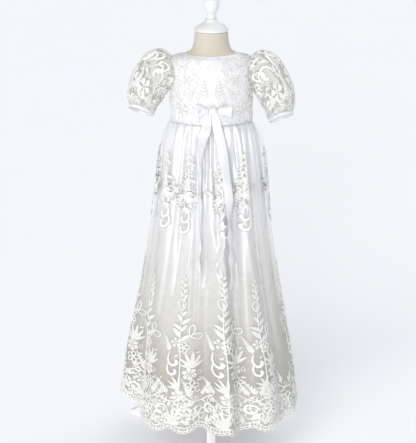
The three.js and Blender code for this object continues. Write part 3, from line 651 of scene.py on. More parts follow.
@dataclass
class DressForm:
    """Linen body, turned cap and finial, pole, hub and three board legs."""

    finishes: Finishes
    sections: Table = (
        (640, 80, 60), (652, 88, 67), (690, 92, 71), (740, 91, 71), (800, 91.5, 69), (872, 91.5, 67),
        (905, 91.5, 66), (925, 91, 63), (936, 90.5, 59.5), (942, 87, 56), (946, 80, 53),
        (949, 70, 50.5), (952, 60, 48), (956, 51.5, 45.5), (962, 46, 43), (972, 41.5, 40.5),
        (986, 39, 39), (1003, 38, 38),
    )
    body_levels: Table = ((0, 640), (0.06, 640), (0.5, 925), (0.72, 962), (0.94, 1003), (1, 1003))
    body_insets: Table = ((0, 0.02), (0.06, 1), (0.94, 1), (1, 0.02))
    body_groove: tuple[float, float, float] = (999, 1002.5, 0.05)
    body_grid: tuple[int, int] = (96, 120)
    body_cut: Pair = (560, 400)
    cap_profile: Table = (
        (38.3, 1003.4), (38.5, 1005), (38.5, 1007), (37.6, 1009), (36.5, 1010.5), (34.9, 1011.6),
        (34.2, 1012.6), (30, 1016.4), (26, 1019), (21.5, 1020.8), (18, 1022.7), (15.2, 1026),
        (13.4, 1029), (12.7, 1031),
    )
    finial_profile: Table = (
        (10.2, 1031.3), (11.5, 1032.4), (11.6, 1034), (10.8, 1035.6), (11.5, 1037.2), (11.5, 1039),
        (10.4, 1040.6), (8.7, 1042), (9.4, 1043.6), (11.8, 1046.5), (14, 1049.8), (15.6, 1053),
        (16.9, 1056.5), (17.7, 1060), (18.3, 1064), (18.7, 1067.5), (19, 1070), (18.4, 1072),
        (16.5, 1073.8), (13, 1077), (9, 1079.5), (4.5, 1081.4), (0.6, 1082),
    )
    pole: tuple[float, float, float] = (14, 230.3, 639.7)
    hub: tuple[float, float, float] = (24, 100, 230)
    post_easing: float = 1.5
    legs: int = 3
    leg_thickness: float = 20
    leg_outline: Table = (
        (24.3, 190), (126, 185), (158, 40), (236, 10), (234, 0), (206, 0), (148, 12), (116, 105),
        (24.3, 105),
    )
    leg_steps: int = 25
    leg_easing: float = 1.2
    turning_steps: int = 64
    hub_sides: int = 6
    feeler: Pair = (0.01, 0.5)

    def __post_init__(self) -> None:
        """Reads the oval sections as curves."""
        heights, widths, depths = zip(*self.sections)
        self.half_width = Curve(heights, widths)
        self.half_depth = Curve(heights, depths)

    def surface(self, angle: Array, z: Array) -> Array:
        """Points of the linen body, in millimetres."""
        return on_oval(angle, self.half_width(z), self.half_depth(z), z)

    def raised(self, angle: Array, z: Array, distance: Array | float) -> Array:
        """Points of the body moved outwards by a distance."""
        out = normals_of(self.surface, angle, z, self.feeler)
        return self.surface(angle, z) + out * np.asarray(distance)[..., None]

    def build(self) -> None:
        """Makes every piece of the form and its stand."""
        self.linen_body()
        self.turned("neck_cap_turned", self.cap_profile, "neck_cap")
        self.turned("finial_turned", self.finial_profile, "finial")
        self.posts()
        for index in range(self.legs):
            self.leg(index)

    def linen_body(self) -> None:
        """Covered body, rounded in at its base and closed at the neck."""
        groove_start, groove_end, groove_depth = self.body_groove

        def shape(u: Array, v: Array) -> Array:
            """The body with its base drawn in to the axis and its top closed."""
            z = np.interp(v, *zip(*self.body_levels))
            inset = np.interp(v, *zip(*self.body_insets))
            points = self.surface(u * math.tau, z)
            groove = 1 - groove_depth * smooth_step(z, groove_start, groove_end)
            points[:, :2] *= (inset * groove)[:, None]
            return points

        mesh = bent_grid("form_linen", shape, self.body_grid, self.body_cut, closed=True)
        finished(mesh, self.finishes.linen, ["form_body"])

    def turned(self, name: str, profile: Table, node: str) -> None:
        """Turned wood from a profile of radius and height.

        Args:
            name: the piece's name.
            profile: its outline from the foot up.
            node: the solid that it stands for.
        """
        lathe = bmesh.new()
        outline = [(0.0, profile[0][1]), *profile, (0.0, profile[-1][1])]
        points = in_frame(np.array([(radius, 0, z) for radius, z in outline]))
        ring = [lathe.verts.new(point) for point in points]
        edges = [lathe.edges.new(pair) for pair in zip(ring, ring[1:])]
        centre = (AXIS[0], AXIS[1], 0)
        bmesh.ops.spin(
            lathe, geom=[*ring, *edges], cent=centre, axis=(0, 0, 1), angle=math.tau,
            steps=self.turning_steps, use_merge=True,
        )
        bmesh.ops.remove_doubles(lathe, verts=lathe.verts, dist=WELD)
        bmesh.ops.recalc_face_normals(lathe, faces=lathe.faces)
        self.keep(lathe, name, [node])

    def keep(self, shape: bmesh.types.BMesh, name: str, nodes: Sequence[str]) -> None:
        """Makes a painted piece from a finished shape.

        Args:
            shape: the shape, which is freed.
            name: the piece's name.
            nodes: the solids that it stands for.
        """
        mesh = bpy.data.meshes.new(name)
        shape.to_mesh(mesh)
        shape.free()
        finished(mesh, self.finishes.paint, nodes)

    def posts(self) -> None:
        """Round pole and six-sided hub, their edges eased."""
        for name, node, sides, (radius, bottom, top) in (
            ("pole_painted", "pole", self.turning_steps, self.pole),
            ("hub_painted", "hub", self.hub_sides, self.hub),
        ):
            post = bmesh.new()
            across = radius / math.cos(math.pi / sides) * MM
            height = (top - bottom) * MM
            bmesh.ops.create_cone(
                post, cap_ends=True, segments=sides, radius1=across, radius2=across, depth=height
            )
            turn = rotation_about_z(math.pi / sides)
            bmesh.ops.rotate(post, verts=post.verts, cent=(0, 0, 0), matrix=turn)
            bmesh.ops.translate(post, verts=post.verts, vec=(*AXIS, bottom * MM + height / 2))
            ease_edges(post, self.post_easing)
            self.keep(post, name, [node])

    def leg(self, index: int) -> None:
        """One curved board leg with eased edges, the first towards the front.

        Args:
            index: the leg's number, from 0.
        """
        outline = [complex(*point) for point in self.leg_outline]
        share = np.linspace(0, 1, self.leg_steps)
        rest = 1 - share

        def sweep(start: complex, first: complex, second: complex, end: complex) -> Array:
            """Points of a curve that two others pull on."""
            pulled = 3 * rest**2 * share * first + 3 * rest * share**2 * second
            return rest**3 * start + pulled + share**3 * end

        upper, toe, lower = outline[:4], outline[4], outline[5:]
        outline = [*sweep(*upper), toe, *sweep(*lower)]
        board = bmesh.new()
        half = self.leg_thickness / 2 * MM
        corners = [board.verts.new((point.real * MM, -half, point.imag * MM)) for point in outline]
        side = board.faces.new(corners)
        grown = bmesh.ops.extrude_face_region(board, geom=[side])
        moved = [item for item in grown["geom"] if isinstance(item, bmesh.types.BMVert)]
        bmesh.ops.translate(board, verts=moved, vec=(0, 2 * half, 0))
        bmesh.ops.recalc_face_normals(board, faces=board.faces)
        ease_edges(board, self.leg_easing)
        turn = rotation_about_z(index / self.legs * math.tau - math.pi / 2)
        bmesh.ops.rotate(board, verts=board.verts, cent=(0, 0, 0), matrix=turn)
        bmesh.ops.translate(board, verts=board.verts, vec=(*AXIS, 0))
        self.keep(board, f"leg_{index + 1}_painted", [f"leg_{index + 1}"])


def rotation_about_z(angle: float) -> Matrix:
    """Turn about the upright axis."""
    return Matrix.Rotation(angle, 3, "Z")


def ease_edges(shape: bmesh.types.BMesh, width: float) -> None:
    """Rounds the sharp edges of a shape.

    Args:
        shape: the shape.
        width: how far back each is rounded, in millimetres.
    """
    sharp = [edge for edge in shape.edges if edge.calc_face_angle(0) > SHARP]
    bmesh.ops.bevel(
        shape, geom=sharp, offset=width * MM, offset_type="OFFSET", affect="EDGES",
        segments=3, profile=0.5, material=-1, clamp_overlap=True,
    )


# Lace as drawn strokes


class Section(Enum):
    """Cross-sections of a stroke of lace, each a row of (place across, height)."""

    CORD = ((-1.0, 0.0), (-0.58, 1.0), (0.58, 1.0), (1.0, 0.0))
    LEAF = ((-1.0, 0.0), (-0.8, 1.0), (-0.5, 0.45), (0.0, 0.35), (0.5, 0.45), (0.8, 1.0), (1.0, 0.0))


class Stroke(NamedTuple):
    """One stroke of lace on the flat: its line as complex numbers, half its width, and its section."""

    line: Array
    half: Array
    section: Section


Layer = Callable[[Array, Array], tuple[Array, Array]]


class Drawing:
    """A lace motif on the flat, in millimetres, upright along the imaginary axis."""

    def __init__(self, strokes: Sequence[Stroke] = ()) -> None:
        """Starts from some strokes."""
        self.strokes = list(strokes)

    def add(self, motif: "Drawing", at: complex = 0, turn: float = 0, size: float = 1,
            mirrored: bool = False) -> "Drawing":
        """Places a motif in this drawing.

        Args:
            motif: the motif.
            at: where its root goes.
            turn: how far it turns to the left, in degrees.
            size: how many times as large it becomes.
            mirrored: whether left and right change places first.

        Returns:
            This drawing.
        """
        swing = size * np.exp(1j * math.radians(turn))
        for line, half, section in motif.strokes:
            line = -np.conj(line) if mirrored else line
            self.strokes.append(Stroke(at + swing * line, half * size, section))
        return self

    def fan(self, motif: "Drawing", at: complex, turns: Sequence[float],
            sizes: Sequence[float]) -> "Drawing":
        """Places a motif several times from one point, at each turn and size."""
        for turn, size in zip(turns, sizes):
            self.add(motif, at, turn, size)
        return self

    def fill(self, corner: complex, far: complex, room: float, size: float) -> "Drawing":
        """Puts small leaves and rings where an area is still bare.

        Args:
            corner: the area's lower left corner.
            far: its upper right corner.
            room: how far a new one's middle keeps from the strokes.
            size: its length.

        Returns:
            This drawing.
        """
        taken = np.concatenate([stroke.line for stroke in self.strokes])
        reach = np.concatenate([stroke.half for stroke in self.strokes])
        left, right = (leaf(size, size * 0.42, bend) for bend in (16, -16))
        small = (left, right, ring(size * 0.8, size * 0.6, 1.8))
        step = room * 0.9
        across = np.arange(corner.real, far.real, step)
        upward = np.arange(corner.imag, far.imag, step)
        count = 0
        for spot in (across[None, :] + 1j * upward[:, None]).ravel():
            spare = np.abs(taken - spot) - reach
            nearest = np.argmin(spare)
            if spare[nearest] < room:
                continue
            heading = np.angle(spot - taken[nearest]) + 0.9 * (-1) ** count
            half = size / 2 * np.exp(1j * heading)
            self.add(small[count % len(small)], spot - half, math.degrees(heading) - 90)
            taken = np.append(taken, [spot - half * 0.7, spot, spot + half * 0.7])
            reach = np.append(reach, [1.5, size * 0.2, 1.5])
            count += 1
        return self


def cord(points: Sequence[complex], width: float, taper: float = 0.35) -> Drawing:
    """A cord through some points, thinner at its ends.

    Args:
        points: places that the cord passes.
        width: its width.
        taper: share of the width that is left at its ends.

    Returns:
        The drawing.
    """
    keys = np.arange(len(points))
    at = np.linspace(0, len(points) - 1, 3 * (len(points) - 1) + 2)
    line = Curve(keys, np.real(points))(at) + 1j * Curve(keys, np.imag(points))(at)
    swell = np.sin(np.linspace(0, math.pi, len(at))) ** 0.5
    return Drawing([Stroke(line, width / 2 * (taper + (1 - taper) * swell), Section.CORD)])


def leaf(length: float, width: float, bend: float = 0, belly: float = 0.85) -> Drawing:
    """A leaf or petal with a corded rim, from its root upwards.

    Args:
        length: its length.
        width: its width at the belly.
        bend: how far its tip swings to the left, in degrees.
        belly: below 1 it is widest near the root, above 1 near the tip.

    Returns:
        The drawing.
    """
    t = np.array([0, 0.12, 0.3, 0.5, 0.7, 0.88, 1])
    line = 1j * length * t * np.exp(1j * math.radians(bend) * t)
    half = width / 2 * np.maximum(np.sin(math.pi * t**belly) ** 0.7, 0.12)
    return Drawing([Stroke(line, half, Section.LEAF)])


def ring(length: float, width: float, thread: float) -> Drawing:
    """A closed loop of cord, pointed at its root.

    Args:
        length: its length.
        width: its width.
        thread: width of the cord.

    Returns:
        The drawing.
    """
    t = np.linspace(0, 1, 11)
    across = width / 2 * np.sin(math.tau * t) * np.sin(math.pi * t) ** 0.6 * 1.15
    along = length * (0.5 - 0.5 * np.cos(math.tau * t))
    return Drawing([Stroke(across + 1j * along, np.full_like(t, thread / 2), Section.CORD)])


def scroll(size: float, sweep: float = 300, width: float = 6) -> Drawing:
    """A comma-shaped scroll that curls to the right and ends in a bulb.

    Args:
        size: how tall it is.
        sweep: how far it turns, in degrees.
        width: width of its cord at the widest.

    Returns:
        The drawing.
    """
    t = np.linspace(0, 1, 14)
    turn = math.radians(sweep)
    radius = size / 2 * (1 - 0.72 * t**1.2)
    steps = np.exp(1j * (math.pi / 2 - turn * t)) * radius
    line = np.concatenate([[0], np.cumsum(steps[:-1])]) * turn / (len(t) - 1)
    half = width / 2 * (0.3 + 0.7 * np.sin(math.pi * (0.08 + 0.7 * t)))
    half[-3:] = width * np.array([0.52, 0.56, 0.28])
    return Drawing([Stroke(line, half, Section.CORD)])


def hook(size: float, width: float) -> Drawing:
    """A hook that hangs from its root and curls up to the left into a bulb.

    Args:
        size: how long it is.
        width: width of its cord at the bend.

    Returns:
        The drawing.
    """
    course = (0, 0.09 - 0.3j, 0.1 - 0.6j, -0.05 - 0.88j, -0.33 - 0.95j, -0.52 - 0.74j, -0.4 - 0.55j)
    (line, _, section), = cord([size * point for point in course], width).strokes
    half = Curve((0, 0.35, 0.7, 0.88, 1), (0.16, 0.36, 0.5, 0.62, 0.3))(np.linspace(0, 1, len(line)))
    return Drawing([Stroke(line, width * half, section)])


def fern(length: float, pairs: int, width: float, bend: float = 0) -> Drawing:
    """A feathery sprig: a stem with pairs of small leaves that shorten to its tip.

    Args:
        length: its length.
        pairs: how many pairs of leaves.
        width: width across the lowest pair.
        bend: how far its tip swings to the left, in degrees.

    Returns:
        The drawing.
    """

    def spine(t: float) -> complex:
        """Place on the stem at a share of its length."""
        return 1j * length * t * np.exp(1j * math.radians(bend) * t)

    sprig = cord([spine(t) for t in (0, 0.35, 0.7, 1)], 2.4)
    for index in range(pairs):
        t = 0.16 + 0.78 * index / pairs
        reach = width * 0.66 * (1 - 0.66 * t)
        for side in (-1, 1):
            sprig.add(leaf(reach, reach * 0.46), spine(t), 2 * bend * t + side * 36)
    return sprig.add(leaf(length * 0.16, width * 0.16), spine(0.93), 2 * bend)


def flower(radius: float, petals: int, plump: float = 0.74) -> Drawing:
    """A flower seen from above: rimmed petals round a ring.

    Args:
        radius: from its middle to a petal's tip.
        petals: how many petals.
        plump: a petal's width as a share of the radius.

    Returns:
        The drawing.
    """
    bloom = Drawing()
    petal = leaf(radius * 0.8, radius * plump, belly=1.5)
    for index in range(petals):
        turn = 360 * index / petals + 12
        bloom.add(petal, 0.2 * radius * 1j * np.exp(1j * math.radians(turn)), turn)
    return bloom.add(ring(radius * 0.42, radius * 0.4, max(radius * 0.13, 1.6)), -0.2j * radius)


def open_flower(radius: float, petals: int) -> Drawing:
    """A flower whose petals are open loops of cord.

    Args:
        radius: from its middle to a petal's tip.
        petals: how many petals.

    Returns:
        The drawing.
    """
    bloom = Drawing()
    petal = ring(radius * 0.86, radius * 0.66, 2.9)
    for index in range(petals):
        turn = 360 * index / petals - 8
        bloom.add(petal, 0.1 * radius * 1j * np.exp(1j * math.radians(turn)), turn)
    return bloom.add(leaf(radius * 0.5, radius * 0.46, belly=1), -0.25j * radius)


def chain(length: float, count: int, width: float) -> Drawing:
    """A braid of small leaves that lean left and right in turn.

    Args:
        length: its length.
        count: how many leaves.
        width: width of the braid.

    Returns:
        The drawing.
    """
    braid = cord([0, 0.5j * length + 1, 1j * length * 0.9], 2)
    for index in range(count):
        lean = 24 if index % 2 else -24
        size = width * (1.45 - 0.6 * index / count)
        aside = 1.4 if lean < 0 else -1.4
        braid.add(leaf(size, size * 0.46), 1j * length * index / count + aside, lean)
    return braid.add(leaf(width * 1.0, width * 0.36), 1j * length * 0.93, 4)


def hook_pair() -> Drawing:
    """Two hooked scrolls, one above the other, below a fern."""
    pair = Drawing().add(hook(33, 8.4), 4 + 36j, mirrored=True)
    pair.add(hook(31, 7.8), 3 + 12j, mirrored=True)
    return pair.add(fern(44, 6, 18, 10), 4 + 32j, 10)


def rising_spray() -> Drawing:
    """The tall spray above the hem: hooks on its left, a cluster of leaves and flowers on its right."""
    spray = Drawing()
    spray.add(cord([6, 4 + 70j, 3 + 140j, -2 + 210j, 1 + 290j], 3))
    spray.add(open_flower(19, 6), 6 + 26j)
    spray.add(flower(14, 5), 33 + 14j)
    spray.add(flower(13, 5), -22 + 4j)
    spray.add(scroll(31, 300, 7), -20 + 24j, 24, mirrored=True)
    spray.add(flower(15, 6), 2 + 62j)
    spray.fan(leaf(17, 7, 10), 30 + 36j, (44, 0, -44), (1, 1, 0.9))
    spray.fan(leaf(32, 7.4, 10), 2 + 76j, (70, 44, 18, -10), (0.85, 1, 1.08, 1))
    spray.add(fern(54, 6, 20, 14), -20 + 58j, 26)
    spray.add(open_flower(15, 5), 31 + 84j)
    spray.add(flower(16, 6), 25 + 114j)
    spray.fan(leaf(38, 8.4, 8), 27 + 128j, (66, 40, 14, -12, -38, -64), (0.7, 0.9, 1.05, 1.1, 1, 0.85))
    spray.add(hook_pair(), -26 + 128j)
    spray.add(open_flower(14, 5), 8 + 176j)
    spray.add(flower(12, 5), -10 + 186j)
    spray.add(cord([8 + 184j, 16 + 192j, 23 + 204j], 2.6))
    spray.fan(ring(25, 14, 3.4), 22 + 204j, (-8, -92), (1, 1))
    for height, turn, size in (
        (190, -46, 1.1), (198, 36, 1.15), (212, -30, 0.85), (216, 48, 0.95),
        (229, -44, 1.0), (236, 28, 0.8), (248, -32, 0.7),
    ):
        spray.add(leaf(25, 10, turn / 5), height * 1j, turn, size)
    spray.fill(-34 + 0j, 44 + 58j, 5.6, 13)
    spray.fill(-6 + 70j, 46 + 170j, 5.2, 12)
    spray.add(ring(26, 17, 3.2), 262j, 8)
    spray.add(leaf(12, 5), 1 + 267j)
    return spray.add(chain(52, 7, 11), 1 + 286j, 2)


def hanging_spray() -> Drawing:
    """The spray that hangs below the waist, drawn downwards: leaves, flowers and two hooks."""
    spray = Drawing()
    spray.add(cord([0, 3 - 50j, -3 - 100j, 5 - 150j], 2.6))
    spray.fan(leaf(18, 6.5), 1 - 4j, (150, 205), (1, 0.9))
    spray.fan(leaf(18, 7), 2 - 20j, (140, 222), (1, 1))
    spray.add(open_flower(13, 5), -4 - 48j)
    spray.fan(leaf(19, 7, 6), 4 - 58j, (126, 232, 180), (1, 1, 0.9))
    spray.add(flower(15, 6), -3 - 88j)
    spray.fan(leaf(24, 9, -8), -2 - 98j, (106, 134, 226, 254), (0.9, 1, 1, 0.9))
    spray.add(flower(12, 5), 14 - 112j)
    spray.add(open_flower(11, 5), -15 - 116j)
    spray.add(fern(48, 6, 19, -10), 14 - 118j, -30)
    spray.fan(leaf(20, 8), 1 - 124j, (150, 204, 236), (1, 0.9, 0.9))
    spray.add(leaf(24, 8, 20), -20 - 96j, 20)
    spray.fan(leaf(17, 6.4, 8), -4 - 70j, (60, 120, 240, 300), (0.9, 1, 1, 0.9))
    spray.add(open_flower(12, 5), 8 - 100j)
    spray.fill(-16 - 132j, 16 - 62j, 4.4, 11)
    spray.add(hook(31, 8), 8 - 130j)
    return spray.add(hook(34, 8.6), 10 - 152j, -4)


def border_unit(second: bool, sprigs: bool) -> Drawing:
    """One scallop's width of the border.

    Args:
        second: whether it is the other of the two units that take turns.
        sprigs: whether ferns rise above it, where no spray does.

    Returns:
        The drawing, its foot on the scallop's cord.
    """
    unit = Drawing()
    unit.add(cord([-35 + 88j, -18 + 74j, 0 + 70j, 18 + 75j, 35 + 88j], 3.8, 0.8))
    for across, turn in ((-25, 130), (-9, 150), (9, 206), (24, 226)):
        unit.add(leaf(13, 5.5, 10), across + 1j * (70 + 0.016 * across * across), turn)
    if second:
        unit.fan(leaf(35, 7.2, 8), -6 + 20j, (82, 54, 27, 0, -27, -54), (0.8, 0.95, 1.05, 1.1, 1, 0.85))
        unit.add(fern(44, 7, 18, -12), -30 + 16j, -80)
        unit.add(scroll(25, 320, 5), 15 + 30j, -8)
        unit.add(open_flower(12, 5), -24 + 50j)
        unit.add(flower(11, 5), 25 + 20j)
    else:
        unit.add(open_flower(20, 6), -2 + 38j)
        unit.add(flower(12, 5), -26 + 58j)
        unit.fan(leaf(23, 8, -8), -18 + 14j, (64, 30), (1, 0.9))
        unit.fan(leaf(23, 8, 8), 16 + 14j, (-64, -30), (1, 0.9))
        unit.add(scroll(24, 310, 5), 19 + 40j, -26)
        unit.add(flower(10, 5), 24 + 18j)
    if sprigs:
        unit.add(fern(52, 6, 21, 8), -14 + 76j, 16)
        unit.add(fern(44, 6, 18, -10), 4 + 76j, -22)
    unit.fan(leaf(17, 6.4), 24 + 84j, (34, 4, -30), (0.9, 1, 0.9))
    return unit.fill(-33 + 15j, 34 + 80j, 6.4, 12)


class LaceWork:
    """Strokes of lace laid on a surface and gathered into one piece."""

    def __init__(self, name: str, lift: float = 0.3, pile: float = 1.15) -> None:
        """Starts an empty piece.

        Args:
            name: its name.
            lift: how far the strokes' underside is off the surface, in millimetres.
            pile: height of the strokes.
        """
        self.name = name
        self.lift = lift
        self.pile = pile
        self.points: list[Array] = []
        self.uvs: list[Array] = []
        self.faces: list[list[int]] = []
        self.count = 0

    def lay(self, drawing: Drawing, onto: Layer) -> None:
        """Lays a drawing.

        Args:
            drawing: the drawing on the flat.
            onto: gives points and outward directions for places across and along.
        """
        flats, heights = [], []
        for line, half, section in drawing.strokes:
            across, height = np.array(section.value).T
            course = np.gradient(line)
            right = -1j * course / np.maximum(np.abs(course), TINY)
            flats.append((line[:, None] + (right * half)[:, None] * across).ravel())
            heights.append((np.minimum(half, 1)[:, None] * height * self.pile).ravel() + self.lift)
            along = np.repeat(np.cumsum(np.abs(course)), len(across))
            kind = CORD_MARK if section is Section.CORD else 0.0
            self.uvs.append(np.stack([np.tile(across, len(line)) + kind, along], axis=1))
            self.skin(len(line), len(across))
        flat = np.concatenate(flats)
        points, out = onto(flat.real, flat.imag)
        self.points.append(points + out * np.concatenate(heights)[:, None])

    def skin(self, rows: int, wide: int) -> None:
        """Adds the faces round one stroke and across its ends.

        Args:
            rows: how many points its line has.
            wide: how many points its section has.
        """
        row, column = np.meshgrid(np.arange(rows - 1), np.arange(wide), indexing="ij")
        beside = (column + 1) % wide
        here = self.count + row * wide
        above = here + wide
        quads = np.stack([here + column, here + beside, above + beside, above + column], axis=-1)
        self.faces += quads.reshape(-1, 4).tolist()
        end = self.count + rows * wide
        self.faces.append(list(range(self.count + wide - 1, self.count - 1, -1)))
        self.faces.append(list(range(end - wide, end)))
        self.count = end

    def finish(self, material: bpy.types.Material, nodes: Sequence[str]) -> bpy.types.Object:
        """Makes the piece.

        Args:
            material: its finish.
            nodes: the solids that it stands for.

        Returns:
            The new object.
        """
        mesh = bpy.data.meshes.new(self.name)
        mesh.from_pydata(in_frame(np.concatenate(self.points)), [], self.faces)
        corners = np.zeros(len(mesh.loops), int)
        mesh.loops.foreach_get("vertex_index", corners)
        uvs = np.concatenate(self.uvs)[corners]
        mesh.uv_layers.new(name="stroke").data.foreach_set("uv", uvs.ravel())
        return finished(mesh, material, nodes)


# The gown


class Crease(NamedTuple):
    """A soft trough or ridge in hanging cloth, from its lower to its upper end."""

    low_angle: float
    low_z: float
    high_angle: float
    high_z: float
    half_width: float
    depth: float


def creased(angle: Array, z: Array, radius: Array, creases: Sequence[Crease]) -> Array:
    """How far creases move cloth outwards.

    Args:
        angle: angles in radians.
        z: heights.
        radius: the cloth's distance from the axis.
        creases: the creases.

    Returns:
        Distances in millimetres.
    """
    total = np.zeros(np.broadcast(angle, z).shape)
    for crease in creases:
        t = np.clip((z - crease.low_z) / (crease.high_z - crease.low_z), 0, 1)
        middle = np.radians(crease.low_angle + (crease.high_angle - crease.low_angle) * t)
        across = (np.mod(angle - middle + math.pi, math.tau) - math.pi) * radius / crease.half_width
        total += crease.depth * np.sin(math.pi * t) ** 0.5 * np.exp(-across * across)
    return total


class Wave(NamedTuple):
    """A wave round the gown."""

    height: float
    count: float
    phase: float


def waves(angle: Array, terms: Sequence[Wave]) -> Array:
    """Sum of some waves at angles in radians."""
    return sum(term.height * np.sin(term.count * angle + term.phase) for term in terms)


class Gathers(NamedTuple):
    """Gathers below a seam: how many, how high, and the height at which they end."""

    count: int
    height: float
    end: float


class Half(Enum):
    """The two halves of the skirt, each with the angle of its first side seam in degrees."""

    FRONT = -90
    BACK = 90

    @property
    def word(self) -> str:
        """The half's name in lower case."""
        return self.name.lower()

    @property
    def start(self) -> float:
        """Angle of its first side seam, in radians."""
        return math.radians(self.value)


@dataclass
class Skirt:
    """Satin underskirt and gathered tulle overskirt with its lace."""

    finishes: Finishes
    form: DressForm
    waist: float = 799.85
    hem: float = 88
    lining_hem: float = 195
    over_sections: Table = (
        (88, 224, 190), (132, 218.5, 186), (250, 200, 172), (370, 173, 150), (500, 151, 131),
        (620, 136, 116), (715, 123, 102), (768, 110, 88),
    )
    under_sections: Table = (
        (195, 198, 170), (340, 167, 144), (490, 143, 122), (640, 123, 102), (752, 105, 83),
    )
    over_ease: float = 3
    under_ease: float = 2.1
    folds: Table = (
        (-166, 0), (-148, -28), (-130, 2), (-118, -12), (-106, 12), (-80, -44), (-56, 3), (-44, 6),
        (-28, 0), (-14, -8), (-4, -34), (10, 22), (20, -22), (29, 8), (39, 11), (56, -18), (66, -8),
        (76, -12), (88, -4), (105, -28), (122, 0), (140, -28), (158, 2), (176, -26),
    )
    fold_growth: float = 0.75
    scallops: int = 20
    scallop_depth: float = 13
    gathers: Gathers = Gathers(29, 5.2, 560)
    fine_gathers: Gathers = Gathers(67, 0.9, 680)
    gather_peak: float = 776
    gather_trough: float = -0.55
    end_waves: tuple[Wave, ...] = (Wave(60, 7, 1.2),)
    spacing_waves: tuple[Wave, ...] = (Wave(1.1, 5, 0.4), Wave(0.7, 11, 0))
    height_waves: tuple[Wave, ...] = (Wave(0.25, 9, 2.1),)
    seam_gap: float = 0.0009
    over_grid: tuple[int, int] = (280, 76)
    over_cut: Pair = (860, 750)
    over_area: float = 0.48
    under_columns: int = 220
    under_rows: tuple[int, int] = (110, 66)
    under_cut: Pair = (720, 640)
    under_area: float = 0.33
    tulle_wall: float = 0.5
    satin_wall: float = 0.7
    spray_angles: tuple[float, ...] = (-54, -22.5, 9, 36, 85.5, 121.5, 157.5, 193.5, 229.5, 256.5)
    spray_clearance: float = 0.14
    hanging_root: float = 742
    hanging_size: float = 0.96
    hanging_turn: float = 3
    rising_root: float = 118
    rising_size: float = 0.97
    size_step: float = 0.03
    border_rise: float = 6
    edge_loops: int = 72
    seam_margin: float = 2
    feeler: Pair = (0.004, 0.8)
    pleats: tuple[Crease, ...] = (
        Crease(-72, 300, -62, 780, 8, -6), Crease(-47, 310, -41, 780, 6, -9),
        Crease(-34, 400, -30, 775, 4.5, -7), Crease(-15, 330, -13, 780, 5.5, -8),
        Crease(8, 380, 4, 780, 5, -6), Crease(25, 240, 27, 780, 6, -10),
        Crease(46, 400, 42, 780, 5, -6), Crease(58, 250, 54, 780, 6, -9),
        Crease(72, 360, 69, 775, 6, -7), Crease(-24, 480, -22, 770, 7, 3),
        Crease(12, 380, 13, 770, 9, 4), Crease(35, 460, 34, 770, 7, 3),
        Crease(-4, 500, -3, 806, 15, 12), Crease(-3, 230, -2, 700, 26, 12),
        Crease(-60, -120, -60, 330, 48, -24), Crease(-86, -120, -80, 330, 36, -20),
    )
    wrinkles: tuple[Crease, ...] = (
        Crease(-8, 420, 14, 540, 5, 5.5), Crease(22, 380, 2, 520, 5, -5.5),
        Crease(4, 470, 20, 620, 5, 5), Crease(0, 330, 20, 430, 5, 5),
        Crease(18, 470, 2, 590, 5, -5), Crease(-2, 300, 12, 380, 5, -5),
        Crease(-38, 450, -30, 640, 8, -4), Crease(-26, 380, -18, 560, 4.5, 3.4),
        Crease(40, 420, 33, 600, 5.5, 3.6), Crease(14, 320, 6, 470, 6, 4),
        Crease(-50, 330, -44, 560, 6, 3.4), Crease(55, 330, 50, 580, 7, -4.5),
        Crease(28, 300, 24, 480, 4.5, 3.4), Crease(-12, 260, -16, 420, 6, -4),
        Crease(6, 380, 16, 450, 4, -3.5),
    )

    def __post_init__(self) -> None:
        """Reads the tables as curves."""
        at_waist = np.array([self.waist])
        width, depth = self.form.half_width(at_waist)[0], self.form.half_depth(at_waist)[0]

        def curves(sections: Table, ease: float) -> tuple[Curve, Curve]:
            """Half width and half depth over the heights of a layer."""
            heights, widths, depths = zip(*sections, (self.waist, width + ease, depth + ease))
            return Curve(heights, widths), Curve(heights, depths)

        self.over_size = curves(self.over_sections, self.over_ease)
        self.under_size = curves(self.under_sections, self.under_ease)
        rows = [(angle + turn, stand) for turn in (-360, 0, 360) for angle, stand in self.folds]
        self.fold_at_hem = Curve(*zip(*rows))

    def fold_stand(self, angle: Array, z: Array) -> Array:
        """How far the main folds stand off the oval, growing from waist to hem."""
        fall = np.clip((self.waist - z) / (self.waist - self.hem), 0, 1)
        return fall**self.fold_growth * self.fold_at_hem(np.degrees(angle))

    def gather_stand(self, angle: Array, z: Array, gathers: Gathers) -> Array:
        """How far gathers below the waist seam stand out, uneven in size and length.

        Args:
            angle: angles in radians.
            z: heights.
            gathers: the gathers.

        Returns:
            Distances in millimetres.
        """
        rise = np.clip((self.waist - z) / (self.waist - self.gather_peak), 0, 1) ** 0.8
        fade = smooth_step(z, gathers.end + waves(angle, self.end_waves), self.gather_peak)
        phase = gathers.count * angle + waves(angle, self.spacing_waves)
        strength = 0.8 + waves(angle, self.height_waves)
        ridge = np.maximum(2 * np.abs(np.cos(phase / 2)) - 0.8, self.gather_trough)
        return gathers.height * rise * fade * strength * ridge

    def hung(self, angle: Array, z: Array, outer: bool) -> Array:
        """Points of a layer's outer face, in millimetres.

        Args:
            angle: angles in radians.
            z: heights.
            outer: whether it is the overskirt.

        Returns:
            Points, one row each.
        """
        width, depth = (size(z) for size in (self.over_size if outer else self.under_size))
        creases = self.pleats if outer else self.pleats + self.wrinkles
        stand = self.fold_stand(angle, z) + self.gather_stand(angle, z, self.gathers)
        if outer:
            stand = stand + self.gather_stand(angle, z, self.fine_gathers)
        stand = stand + creased(angle, z, depth, creases) + creased(angle - math.pi, z, depth, creases)
        return on_oval(angle, width + stand, depth + stand, z)

    def over(self, angle: Array, z: Array) -> Array:
        """Points of the overskirt's outer face, in millimetres."""
        return self.hung(angle, z, True)

